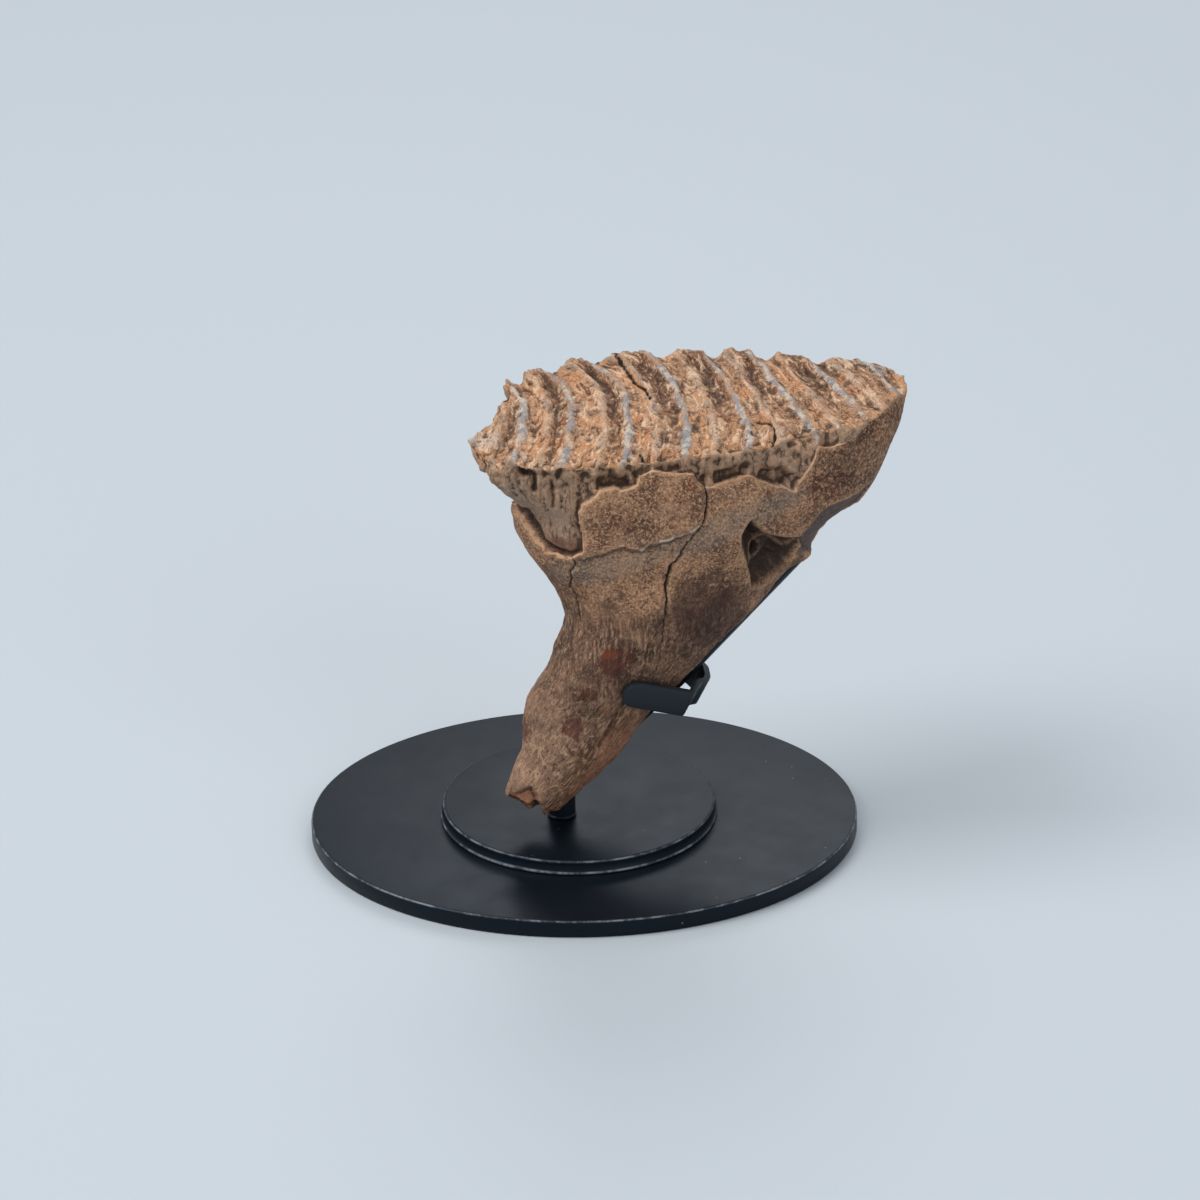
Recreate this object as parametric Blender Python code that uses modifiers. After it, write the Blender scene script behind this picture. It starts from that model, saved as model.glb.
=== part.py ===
# Fossil mammoth tooth on its display stand: the solids, at real size.
# Lengths below are in millimetres and become metres where a mesh is made (MM).
# X runs along the oval base, Y away from the viewer, Z up. The origin is the
# centre of the base's underside.

import math

import bmesh
import bpy
import numpy as np
from mathutils import Vector, noise

MM = 0.001
GAP = 0.3                      # air between two pieces that touch

# Stand
BASE_HALF_LENGTH = 75.0
BASE_HALF_DEPTH = 63.6
BASE_THICK = 5.0
BASE_EDGE = 0.8                # rounding of the plate's top edge
BASE_SIDES = 72
RISER_RADIUS = 37.4
RISER_THICK = 4.0
RISER_EDGE = 0.8
RISER_CENTRE = (-1.4, -0.3)
RISER_LIP = 0.6                # thin bead round the riser's foot
RISER_STEPS = 56
ROD_RADIUS = 3.75
ROD_FOOT = (-6.0, -10.0)
ROD_KNEE_Z = 20.5
ROD_CLIP_POINT = (23.5, -1.2, 44.8)
ROD_END = (58.4, 9.8, 78.3)
ROD_KNEE_RADIUS = 9.0
ROD_COLLAR_RADIUS = 4.0
ROD_COLLAR_HEIGHT = 0.9
STRAP_WIDTH = 7.6
STRAP_THICK = 1.8
STRAP_CENTRE = (20.0, 0.0, 49.9)
STRAP_LEAN = 26.7              # degrees from upright, toward +X
STRAP_ROUTE = [                # along the strip: sideways, away from the viewer
    (-9.6, -27.6), (-8.6, -27.1), (-6.6, -26.0), (8.9, -17.8), (9.5, -16.0),
    (10.4, -11.5), (11.2, -9.0), (13.4, -6.2), (14.0, -3.0), (13.6, 2.6),
    (9.6, 6.4), (3.0, 7.4), (-5.0, 7.4), (-7.0, 7.2), (-8.0, 7.1),
]
STRAP_END_WIDTHS = [1.4, 5.2, 7.4]     # the rounded tab ends
FRONT_ARM = (2, 3)             # points of the route that hold each arm's face
BACK_ARM = (11, 12)
ARM_REACH = 11.0               # how far along the strip its arms face the tooth
ARM_EASE = 1.5

# Tooth: chewing plane
TABLE_CENTRE = (30.5, 1.5, 123.4)
TABLE_TILT = 8.0               # degrees, its far side higher
TABLE_TILT_REACH = 45.0        # how far down that tilt dies out
TABLE_OUTLINE = [
    (-27.9, -14.2), (-26, -9.8), (-21, 0), (-16.5, 15), (-10, 22.5), (3, 28), (20, 30), (38, 30),
    (56, 27.5), (74, 24), (85, 19.5), (88.4, 12), (84, 3), (74, -8.5), (60, -12.5),
    (46, -20.5), (28, -23.8), (10, -27.2), (-8, -28.6), (-16, -26), (-22, -20.6), (-26.2, -17.3),
]
# Level sections from crown to root tip: height, left, right, middle's depth,
# slant of the section, front half depth, back half depth, squareness
SECTIONS = [
    (117.0, -27.8, 87.0, 0.8, 0.20, 26.8, 29.5, 2.4),
    (111.0, -24.0, 84.8, 0.2, 0.21, 27.2, 29.0, 2.3),
    (104.0, -17.8, 82.2, 0.0, 0.22, 27.0, 28.5, 2.2),
    (97.0, -16.8, 78.6, -0.8, 0.24, 26.5, 27.5, 2.1),
    (94.0, -15.3, 76.0, -1.4, 0.25, 26.0, 26.8, 2.1),
    (91.0, -13.8, 70.5, -2.0, 0.26, 25.5, 26.0, 2.1),
    (88.5, -12.2, 66.9, -2.5, 0.26, 24.9, 25.2, 2.1),
    (84.0, -9.2, 63.4, -3.5, 0.28, 23.8, 23.8, 2.0),
    (80.0, -6.9, 58.6, -4.5, 0.29, 22.6, 22.6, 2.0),
    (76.0, -4.9, 54.4, -5.5, 0.30, 21.5, 21.5, 2.0),
    (71.5, -3.6, 51.0, -6.6, 0.30, 20.4, 20.6, 2.0),
    (68.0, -4.1, 47.5, -7.3, 0.30, 19.7, 20.0, 2.0),
    (63.0, -6.4, 42.0, -8.4, 0.30, 18.3, 18.7, 2.0),
    (58.0, -8.4, 36.5, -9.5, 0.30, 17.0, 17.5, 2.0),
    (49.0, -14.3, 27.3, -12.0, 0.28, 14.5, 14.5, 2.0),
    (41.0, -16.4, 19.3, -14.5, 0.26, 13.0, 12.0, 2.0),
    (33.0, -17.3, 12.0, -17.0, 0.24, 12.0, 10.5, 2.1),
    (26.0, -20.0, 4.5, -19.3, 0.20, 10.5, 9.0, 2.1),
    (20.0, -21.0, -3.0, -21.0, 0.15, 8.8, 8.0, 2.1),
    (15.5, -19.5, -8.5, -22.0, 0.10, 6.0, 6.0, 2.1),
]
LOFT_AROUND = 132
LOFT_LEVELS = 90

# Tooth: rows of plates across the table
PLATE_YAW = 17.0               # the row's direction in plan
PLATE_PITCH = 13.4
PLATE_FIRST = -5.0             # a plate's middle, along the row from the centre
PLATE_HALF = 2.9               # middle of a plate to its enamel
PLATE_FAN = (0.10, 0.0055)     # how the plates lean, and how that changes
ENAMEL_RISE = 0.7
ENAMEL_WIDTH = 0.9
CEMENT_DROP = 2.0
PLATE_WAVE = 0.7               # how far the enamel lines wander
PLATE_SIDE_RISE = 1.2          # plates over cement on the broken walls

# Tooth: broken edge of the outer crust on the front, as X and Z
CRUST_EDGE = [
    (-24, 103), (-16.4, 101), (-12.8, 98.5), (-9.6, 96), (-4.4, 93.6), (-0.7, 92.5),
    (0.3, 109.3), (2.2, 111.6), (6.1, 113.1), (15.6, 113.5), (15.9, 116.8),
    (24.4, 116.5), (29.8, 115.7), (34, 111.2), (41.2, 112.7), (44.4, 114),
    (48.9, 111.4), (57.2, 107.4), (59.8, 111.2), (61.5, 117.1), (70, 119), (82, 124),
]
CRUST_EDGE_DROP_BACK = 12.0    # the same edge on the back, below the table
CRUST_EDGE_WANDER = 3.0        # how much that back edge wanders
EXPOSED_DEPTH = 2.0            # how far the plates stand back from the crust
EXPOSED_CRUMBLE = 0.5
SEAM = [(-0.7, 92.5), (8.5, 96.5), (16.8, 95.8), (18.4, 97.8), (28.5, 99.6), (32, 101.5)]
SEAM_STEP = 0.9
HOLLOW = [                     # hollow in the right of the root, as X and Z
    (45.9, 102.3), (48.2, 99), (49.1, 97.3), (52.9, 95.1), (57.9, 92.8), (60.5, 91),
    (60, 87.5), (57.5, 84), (55.6, 81.2), (52, 78.4), (48.6, 76.4), (45.2, 78), (45, 83),
    (43.4, 88.7), (42.1, 92.9), (42.4, 97.4), (44.2, 101),
]
HOLLOW_DEPTH = 7.0
# Soft dents and swellings: X, Y, Z, radius, height (negative is a dent)
LUMPS = [
    (10.5, -28.0, 116.0, 5.0, -3.0), (46.0, -21.5, 114.0, 7.0, -3.2),
    (-14.5, -26.5, 116.0, 3.5, -2.0), (66.0, -12.0, 95.0, 6.0, -2.2),
    (-16.5, -14.0, 41.5, 3.0, 1.4), (-15.0, -18.0, 36.0, 3.5, -1.2),
    (9.5, -25.5, 44.0, 4.5, -1.3), (61.0, -2.0, 81.5, 4.5, 2.4),
    (80.0, 21.0, 125.0, 5.0, 0.9), (6.0, 9.0, 60.0, 9.0, -2.6),
    (22.0, 27.0, 92.0, 10.0, -1.8), (-20.5, 9.5, 123.0, 4.0, -2.2),
]
TIP_CUT_POINT = (-12.0, -22.0, 19.6)
TIP_CUT_NORMAL = (-0.25, -0.45, -0.86)
TIP_JAG = 0.8

VOXEL = 1.25
TOOTH_TRIANGLES = 7000
LUMP_NOISE = 0.55
CLEARANCE = 1.0                # room the tooth leaves round the rod and the strip
FRONT_LIMIT = 0.12             # walls whose normals look less far back than this are the front

FOSSIL_BROWN = (0.24, 0.145, 0.085)
SATIN_BLACK = (0.018, 0.02, 0.023)


def clear_scene():
    for old in list(bpy.data.objects):
        bpy.data.objects.remove(old, do_unlink=True)


def make_material(name, colour, roughness, metallic):
    material = bpy.data.materials.new(name)
    material.use_nodes = True
    shader = material.node_tree.nodes["Principled BSDF"]
    shader.inputs["Base Color"].default_value = (*colour, 1.0)
    shader.inputs["Roughness"].default_value = roughness
    shader.inputs["Metallic"].default_value = metallic
    return material


def add_object(name, mesh, material, collection):
    piece = bpy.data.objects.new(name, mesh)
    mesh.materials.clear()
    mesh.materials.append(material)
    collection.objects.link(piece)
    return piece


def take_new_object(name, material, collection):
    """Name the primitive that was just added and move it to the collection."""
    piece = bpy.context.active_object
    for owner in list(piece.users_collection):
        owner.objects.unlink(piece)
    collection.objects.link(piece)
    piece.name = name
    piece.data.materials.append(material)
    return piece


def apply_scale(piece):
    piece.data.transform(piece.matrix_basis)
    piece.matrix_basis.identity()


def evaluated_mesh(piece):
    graph = bpy.context.evaluated_depsgraph_get()
    graph.update()
    return bpy.data.meshes.new_from_object(piece.evaluated_get(graph))


def shade(piece, angle=40.0):
    piece.data.shade_smooth()
    piece.data.set_sharp_from_angle(angle=math.radians(angle))


# Curves and fields

def smooth_step(low, high, value):
    t = np.clip((value - low) / (high - low), 0.0, 1.0)
    return t * t * (3.0 - 2.0 * t)


def hermite(stations, values, wanted):
    """Smooth rows of values through stations, read at the wanted places."""
    slopes = np.gradient(values, stations, axis=0)
    left = np.clip(np.searchsorted(stations, wanted) - 1, 0, len(stations) - 2)
    span = (stations[left + 1] - stations[left])
    t = (wanted - stations[left]) / span
    shape = (-1,) + (1,) * (values.ndim - 1)
    t = t.reshape(shape)
    span = span.reshape(shape)
    start = (2 * t**3 - 3 * t**2 + 1) * values[left] + (t**3 - 2 * t**2 + t) * span * slopes[left]
    end = (3 * t**2 - 2 * t**3) * values[left + 1] + (t**3 - t**2) * span * slopes[left + 1]
    return start + end


def distance_to_line(points, line):
    """Distance of 2D points to an open line of 2D points."""
    best = np.full(len(points), np.inf)
    for first, second in zip(line[:-1], line[1:]):
        a = np.array(first, float)
        along = np.array(second, float) - a
        t = np.clip((points - a) @ along / (along @ along), 0.0, 1.0)
        best = np.minimum(best, np.linalg.norm(points - a - t[:, None] * along, axis=1))
    return best


def inside(points, outline):
    """True for 2D points inside a closed outline."""
    result = np.zeros(len(points), bool)
    for (x0, z0), (x1, z1) in zip(outline, outline[1:] + outline[:1]):
        crosses = (z0 > points[:, 1]) != (z1 > points[:, 1])
        at = x0 + (points[:, 1] - z0) * (x1 - x0) / (z1 - z0 if z1 != z0 else 1e-9)
        result ^= crosses & (points[:, 0] < at)
    return result


def roughness_field(points, size, offset):
    """Gradient noise from -1 to 1 at each point, with lumps of the given size."""
    shift = Vector(offset)
    return np.array([noise.noise(Vector(p) / size + shift) for p in points])


# Tooth: the smooth form

def table_radius(angles):
    """Radius of the chewing outline at each angle, through its points smoothly."""
    outline = np.array(TABLE_OUTLINE, float) - np.array(TABLE_CENTRE[:2])
    count = len(outline)
    smooth = []
    for i in range(count):
        a, b, c, d = (outline[(i + k - 1) % count] for k in range(4))
        for t in np.linspace(0.0, 1.0, 16, endpoint=False):
            smooth.append(0.5 * (2 * b + (c - a) * t + (2 * a - 5 * b + 4 * c - d) * t**2
                                 + (3 * b - a - 3 * c + d) * t**3))
    smooth = np.array(smooth)
    around = np.arctan2(smooth[:, 1], smooth[:, 0])
    order = np.argsort(around)
    radius = np.hypot(smooth[:, 0], smooth[:, 1])
    return np.interp(angles, around[order], radius[order], period=2 * np.pi)


def section_radius(section, angles):
    """Radius of one level section at each angle from its own middle."""
    _, left, right, _, slant, front, back, square = section
    turn = np.linspace(0.0, 2 * np.pi, 720, endpoint=False)
    cosine = np.cos(turn)
    sine = np.sin(turn)
    x = (right - left) / 2 * np.sign(cosine) * np.abs(cosine) ** (2 / square)
    deep = np.where(sine > 0, back, front)
    y = slant * x + deep * np.sign(sine) * np.abs(sine) ** (2 / square)
    around = np.arctan2(y, x)
    order = np.argsort(around)
    return np.interp(angles, around[order], np.hypot(x, y)[order], period=2 * np.pi)


def tooth_rings():
    """Rings of points from the chewing plane down to the root tip."""
    angles = np.linspace(-np.pi, np.pi, LOFT_AROUND, endpoint=False)
    top = TABLE_CENTRE[2]
    drops = np.array([0.0] + [top - section[0] for section in SECTIONS])
    radii = np.array([table_radius(angles)] + [section_radius(s, angles) for s in SECTIONS])
    middles = np.array([TABLE_CENTRE[:2]] + [((s[1] + s[2]) / 2, s[3]) for s in SECTIONS])
    fade = np.clip(1.0 - drops / TABLE_TILT_REACH, 0.0, 1.0)
    tilts = math.tan(math.radians(TABLE_TILT)) * fade
    levels = np.linspace(0.0, drops[-1], LOFT_LEVELS)
    radii = hermite(drops, radii, levels)
    middles = hermite(drops, middles, levels)
    tilts = np.interp(levels, drops, tilts)
    rings = []
    for k, drop in enumerate(levels):
        x = radii[k] * np.cos(angles)
        y = radii[k] * np.sin(angles)
        rings.append(np.stack([middles[k, 0] + x, middles[k, 1] + y, top - drop + tilts[k] * y], -1))
    return rings


def loft_mesh(rings):
    """Closed mesh over the rings, capped at both ends."""
    mesh = bmesh.new()
    rows = [[mesh.verts.new(Vector(p) * MM) for p in ring] for ring in rings]
    for upper, lower in zip(rows[:-1], rows[1:]):
        for i in range(len(upper)):
            j = (i + 1) % len(upper)
            mesh.faces.new((upper[j], upper[i], lower[i], lower[j]))
    mesh.faces.new(rows[0])
    mesh.faces.new(rows[-1][::-1])
    bmesh.ops.recalc_face_normals(mesh, faces=mesh.faces)
    result = bpy.data.meshes.new("tooth_form")
    mesh.to_mesh(result)
    mesh.free()
    return result


# Tooth: relief on that form

def table_drop(points):
    """How far each point lies below the chewing plane."""
    rise = math.tan(math.radians(TABLE_TILT))
    plane = TABLE_CENTRE[2] + rise * (points[:, 1] - TABLE_CENTRE[1])
    return (plane - points[:, 2]) * math.cos(math.radians(TABLE_TILT))


def row_places(points):
    """Place along the row of plates, with their lean taken out, and across it."""
    yaw = math.radians(PLATE_YAW)
    x = points[:, 0] - TABLE_CENTRE[0]
    y = points[:, 1] - TABLE_CENTRE[1]
    along = x * math.cos(yaw) + y * math.sin(yaw)
    across = np.clip(y * math.cos(yaw) - x * math.sin(yaw), -30.0, 36.0)
    lean, change = PLATE_FAN
    return (along - lean * across) / (1.0 - change * across), across


def plate_relief(points):
    """Height of the worn table: raised plates with enamel rims, sunk cement."""
    along, across = row_places(points)
    wave = PLATE_WAVE * roughness_field(points, 9.0, (3.1, 0.4, 7.7))
    place = (along + wave - PLATE_FIRST) / PLATE_PITCH
    off = np.abs(place - np.round(place)) * PLATE_PITCH
    cement = -CEMENT_DROP * smooth_step(PLATE_HALF, PLATE_PITCH / 2, off)
    rim = ENAMEL_RISE * np.exp(-((off - PLATE_HALF) / ENAMEL_WIDTH) ** 2)
    strength = 0.65 + 0.35 * smooth_step(-12.0, 18.0, across)
    return (cement + rim) * strength


def exposed_share(points, front):
    """1 where the crust is broken away and the plates show, 0 on the crust."""
    flat = points[:, [0, 2]]
    edge = np.array(CRUST_EDGE, float)
    side = points[:, 2] - np.interp(points[:, 0], edge[:, 0], edge[:, 1])
    ahead = np.sign(side) * distance_to_line(flat, CRUST_EDGE)
    drop = table_drop(points)
    shrink = 1.0 - smooth_step(50.0, 78.0, points[:, 0])
    wander = CRUST_EDGE_WANDER * roughness_field(points, 8.0, (9.0, 2.0, 5.0))
    behind = (CRUST_EDGE_DROP_BACK + wander) * shrink - drop
    return smooth_step(-0.6, 0.6, np.where(front, ahead, behind))


def wall_relief(points, front):
    """Height of everything on the walls, along the outward normal."""
    flat = points[:, [0, 2]]
    exposed = exposed_share(points, front)
    along, _ = row_places(points)
    place = (along - PLATE_FIRST) / PLATE_PITCH
    off = np.abs(place - np.round(place)) * PLATE_PITCH
    plates = PLATE_SIDE_RISE * (1.0 - smooth_step(PLATE_HALF, PLATE_PITCH / 2, off))
    crumble = EXPOSED_CRUMBLE * roughness_field(points, 3.0, (1.0, 6.0, 2.0))
    height = exposed * (plates + crumble - EXPOSED_DEPTH)
    seam = np.array(SEAM, float)
    above = points[:, 2] - np.interp(points[:, 0], seam[:, 0], seam[:, 1])
    within = smooth_step(-1.2, 0.2, points[:, 0]) * (1.0 - smooth_step(31.0, 36.0, points[:, 0]))
    height += front * (1.0 - exposed) * SEAM_STEP * within * smooth_step(-0.5, 0.5, above)
    depth = np.where(inside(flat, HOLLOW), distance_to_line(flat, HOLLOW + HOLLOW[:1]), 0.0)
    height -= front * HOLLOW_DEPTH * smooth_step(0.0, 5.5, depth)
    height += LUMP_NOISE * roughness_field(points, 13.0, (5.0, 5.0, 5.0))
    return height


def lump_relief(points):
    height = np.zeros(len(points))
    for x, y, z, radius, rise in LUMPS:
        away = np.linalg.norm(points - np.array((x, y, z)), axis=1)
        height += rise * np.exp(-((away / radius) ** 2))
    return height


def break_tip(points):
    """Flatten the root tip onto its broken face."""
    normal = np.array(TIP_CUT_NORMAL) / np.linalg.norm(TIP_CUT_NORMAL)
    beyond = (points - np.array(TIP_CUT_POINT)) @ normal
    jag = TIP_JAG * roughness_field(points, 4.0, (2.0, 8.0, 1.0))
    return points - np.maximum(beyond + jag, 0.0)[:, None] * normal


def keep_clear(points, route, reach):
    """Push points that come too near a route out to the reach."""
    for first, second in zip(route[:-1], route[1:]):
        a = np.array(first, float)
        along = np.array(second, float) - a
        t = np.clip((points - a) @ along / (along @ along), 0.0, 1.0)
        away = points - a - t[:, None] * along
        length = np.linalg.norm(away, axis=1)
        near = length < reach
        points[near] += away[near] * (reach / length[near] - 1.0)[:, None]
    return points


def keep_off_strap(points):
    """Push the tooth away from the inner faces of the strip's two arms.

    Above and below the strip the push dies out with a slope of ARM_EASE.
    """
    side, back, up = strap_axes()
    local = points - np.array(STRAP_CENTRE)
    along = local @ side
    high = np.abs(local @ up)
    room = STRAP_THICK / 2 + CLEARANCE
    ease = ARM_EASE * np.maximum(high - STRAP_WIDTH / 2 - 1.0, 0.0)
    for first, second, inward in ((FRONT_ARM[0], FRONT_ARM[1], 1.0), (BACK_ARM[0], BACK_ARM[1], -1.0)):
        (x0, y0), (x1, y1) = STRAP_ROUTE[first], STRAP_ROUTE[second]
        face = y0 + (y1 - y0) / (x1 - x0) * (along - x0) + inward * (room - ease)
        deep = (points - np.array(STRAP_CENTRE)) @ back
        near = (along > STRAP_ROUTE[0][0] - 2.0) & (along < ARM_REACH)
        push = np.maximum(inward * (face - deep), 0.0) * (near & (inward * deep < -1.0))
        points = points + (inward * push)[:, None] * back
    return points


def shape_tooth(mesh):
    count = len(mesh.vertices)
    points = np.empty(count * 3)
    mesh.vertices.foreach_get("co", points)
    points = points.reshape(-1, 3) / MM
    normals = np.empty(count * 3)
    mesh.vertices.foreach_get("normal", normals)
    normals = normals.reshape(-1, 3)

    tilt = math.radians(TABLE_TILT)
    upright = np.array((0.0, -math.sin(tilt), math.cos(tilt)))
    on_table = smooth_step(6.0, 0.5, table_drop(points))
    wall = smooth_step(0.9, 0.6, normals @ upright) + (table_drop(points) > 6.0)
    wall = np.clip(wall, 0.0, 1.0)
    front = normals[:, 1] < FRONT_LIMIT
    points = (points + (on_table * plate_relief(points))[:, None] * upright
              + (wall * wall_relief(points, front) + lump_relief(points))[:, None] * normals)
    points = break_tip(points)
    points = keep_clear(points, rod_corners(), ROD_RADIUS + CLEARANCE)
    points = keep_off_strap(points)
    mesh.vertices.foreach_set("co", (points * MM).ravel())
    mesh.update()


def build_tooth(material, collection):
    form = add_object("tooth", loft_mesh(tooth_rings()), material, collection)
    remesh = form.modifiers.new("even faces", "REMESH")
    remesh.mode = "VOXEL"
    remesh.voxel_size = VOXEL * MM
    mesh = evaluated_mesh(form)
    form.modifiers.clear()
    form.data = mesh
    shape_tooth(mesh)
    faces = sum(len(face.vertices) - 2 for face in mesh.polygons)
    fewer = form.modifiers.new("fewer faces", "DECIMATE")
    fewer.ratio = TOOTH_TRIANGLES / faces
    shade(form, 50.0)
    return form


# Stand

def build_base(material, collection):
    bpy.ops.mesh.primitive_cylinder_add(vertices=BASE_SIDES, radius=1.0, depth=BASE_THICK * MM,
                                        location=(0.0, 0.0, BASE_THICK * MM / 2))
    plate = take_new_object("base_plate", material, collection)
    plate.scale = (BASE_HALF_LENGTH * MM, BASE_HALF_DEPTH * MM, 1.0)
    apply_scale(plate)
    round_edge = plate.modifiers.new("edge", "BEVEL")
    round_edge.width = BASE_EDGE * MM
    round_edge.segments = 3
    round_edge.limit_method = "ANGLE"
    shade(plate)
    return plate


def build_riser(material, collection):
    """Turned disc: rounded top edge, thin bead at the foot."""
    low = BASE_THICK + GAP
    top = BASE_THICK + RISER_THICK
    wide = RISER_RADIUS
    bead = RISER_RADIUS + RISER_LIP
    corner = [(wide - RISER_EDGE * (1 - math.cos(t)), top - RISER_EDGE * (1 - math.sin(t)))
              for t in (math.pi / 2, math.pi / 3, math.pi / 6, 0.0)]
    profile = [(0.0, top)] + corner + [(wide, low + 0.9), (bead, low + 0.6), (bead, low), (0.0, low)]
    mesh = bpy.data.meshes.new("riser_disc")
    edges = [(i, i + 1) for i in range(len(profile) - 1)]
    mesh.from_pydata([(x * MM, 0.0, z * MM) for x, z in profile], edges, [])
    disc = add_object("riser_disc", mesh, material, collection)
    disc.location = (RISER_CENTRE[0] * MM, RISER_CENTRE[1] * MM, 0.0)
    screw = disc.modifiers.new("turn", "SCREW")
    screw.steps = RISER_STEPS
    screw.render_steps = RISER_STEPS
    screw.use_merge_vertices = True
    screw.merge_threshold = 0.0001
    screw.use_smooth_shade = True
    return disc


def rod_corners():
    foot = (*ROD_FOOT, BASE_THICK + RISER_THICK + GAP)
    return [foot, (*ROD_FOOT, ROD_KNEE_Z), ROD_CLIP_POINT, ROD_END]


def rod_path():
    """The rod's middle line, with an arc at the knee."""
    foot, knee, clip, end = (Vector(p) for p in rod_corners())
    down = (foot - knee).normalized()
    out = (clip - knee).normalized()
    half = down.angle(out) / 2
    reach = ROD_KNEE_RADIUS / math.tan(half)
    middle = knee + (down + out).normalized() * (ROD_KNEE_RADIUS / math.sin(half))
    start = knee + down * reach - middle
    turn = math.pi - 2 * half
    axis = start.cross(out).normalized()
    path = [foot]
    steps = 5
    for k in range(steps + 1):
        swing = turn * k / steps
        path.append(middle + start * math.cos(swing) + axis.cross(start) * math.sin(swing))
    return path + [clip.lerp(knee, 0.12), clip.lerp(end, 0.1), end]


def build_rod(material, collection, cutters):
    curve = bpy.data.curves.new("support_rod", "CURVE")
    curve.dimensions = "3D"
    curve.bevel_depth = ROD_RADIUS * MM
    curve.bevel_resolution = 4
    curve.use_fill_caps = True
    line = curve.splines.new("POLY")
    path = rod_path()
    line.points.add(len(path) - 1)
    for point, place in zip(line.points, path):
        point.co = (*(place * MM), 1.0)
    bent = bpy.data.objects.new("rod_curve", curve)
    collection.objects.link(bent)
    mesh = evaluated_mesh(bent)
    bpy.data.objects.remove(bent, do_unlink=True)
    work = bmesh.new()
    work.from_mesh(mesh)
    bmesh.ops.remove_doubles(work, verts=work.verts, dist=0.00001)
    bmesh.ops.recalc_face_normals(work, faces=work.faces)
    work.to_mesh(mesh)
    work.free()
    rod = add_object("support_rod", mesh, material, collection)

    foot = rod_corners()[0]
    bpy.ops.mesh.primitive_cylinder_add(
        vertices=24, radius=ROD_COLLAR_RADIUS * MM, depth=ROD_COLLAR_HEIGHT * MM,
        location=(foot[0] * MM, foot[1] * MM, (foot[2] + ROD_COLLAR_HEIGHT / 2) * MM))
    collar = take_new_object("rod_collar", material, cutters)
    collar.hide_render = True
    collar.display_type = "WIRE"
    union = rod.modifiers.new("collar", "BOOLEAN")
    union.operation = "UNION"
    union.object = collar
    shade(rod)
    return rod


def strap_axes():
    lean = math.radians(STRAP_LEAN)
    side = np.array((math.cos(lean), 0.0, -math.sin(lean)))
    back = np.array((0.0, 1.0, 0.0))
    up = np.array((math.sin(lean), 0.0, math.cos(lean)))
    return side, back, up


def build_strap(material, collection):
    """Flat strip bent round the root, its two ends rounded."""
    side, back, up = strap_axes()
    count = len(STRAP_ROUTE)
    widths = [STRAP_WIDTH] * count
    for k, width in enumerate(STRAP_END_WIDTHS):
        widths[k] = width
        widths[count - 1 - k] = width
    corners = []
    for (along, deep), width in zip(STRAP_ROUTE, widths):
        middle = np.array(STRAP_CENTRE) + along * side + deep * back
        corners.append(middle - width / 2 * up)
        corners.append(middle + width / 2 * up)
    faces = [(2 * k, 2 * k + 2, 2 * k + 3, 2 * k + 1) for k in range(count - 1)]
    mesh = bpy.data.meshes.new("claw_strap")
    mesh.from_pydata([tuple(c * MM) for c in corners], [], faces)
    strap = add_object("claw_strap", mesh, material, collection)
    wall = strap.modifiers.new("thickness", "SOLIDIFY")
    wall.thickness = STRAP_THICK * MM
    wall.offset = 0.0
    wall.use_even_offset = True
    shade(strap)
    return strap


def main():
    clear_scene()
    parts = bpy.data.collections.new("mammoth_tooth")
    cutters = bpy.data.collections.new("cutters")
    for collection in (parts, cutters):
        bpy.context.scene.collection.children.link(collection)
    fossil = make_material("fossil", FOSSIL_BROWN, 0.8, 0.0)
    paint = make_material("satin_paint", SATIN_BLACK, 0.45, 0.0)
    build_base(paint, parts)
    build_riser(paint, parts)
    build_rod(paint, parts, cutters)
    build_strap(paint, parts)
    build_tooth(fossil, parts)


main()
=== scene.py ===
import math

import bmesh
import bpy
import numpy as np
from mathutils import Matrix, Vector


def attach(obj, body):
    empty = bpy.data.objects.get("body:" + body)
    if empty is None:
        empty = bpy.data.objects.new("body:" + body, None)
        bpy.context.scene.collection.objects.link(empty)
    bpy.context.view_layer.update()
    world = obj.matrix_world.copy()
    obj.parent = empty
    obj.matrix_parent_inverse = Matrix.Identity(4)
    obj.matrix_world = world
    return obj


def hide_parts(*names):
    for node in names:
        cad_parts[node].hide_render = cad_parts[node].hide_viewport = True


# Fossil mammoth tooth on its display stand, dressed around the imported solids.
# Lengths in the dictionaries are millimetres, and mm turns them into metres.
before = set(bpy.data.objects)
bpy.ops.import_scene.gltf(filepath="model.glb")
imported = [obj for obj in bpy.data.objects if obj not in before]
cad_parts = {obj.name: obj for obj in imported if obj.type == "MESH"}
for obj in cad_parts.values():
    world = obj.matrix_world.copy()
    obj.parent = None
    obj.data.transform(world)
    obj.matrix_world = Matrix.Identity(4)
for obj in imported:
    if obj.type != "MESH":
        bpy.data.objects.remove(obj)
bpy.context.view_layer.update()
mm = 0.001


# Small helpers: values

def smoothStep(low, high, value):
    t = np.clip((value - low) / (high - low), 0.0, 1.0)
    return t * t * (3.0 - 2.0 * t)


def hermiteRows(stations, values, wanted):
    # smooth rows of values through the stations
    slopes = np.gradient(values, stations, axis=0)
    left = np.clip(np.searchsorted(stations, wanted) - 1, 0, len(stations) - 2)
    span = stations[left + 1] - stations[left]
    t = (wanted - stations[left]) / span
    shape = (-1,) + (1,) * (values.ndim - 1)
    t = t.reshape(shape)
    span = span.reshape(shape)
    start = (2 * t**3 - 3 * t**2 + 1) * values[left] + (t**3 - 2 * t**2 + t) * span * slopes[left]
    end = (3 * t**2 - 2 * t**3) * values[left + 1] + (t**3 - t**2) * span * slopes[left + 1]
    return start + end


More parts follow.
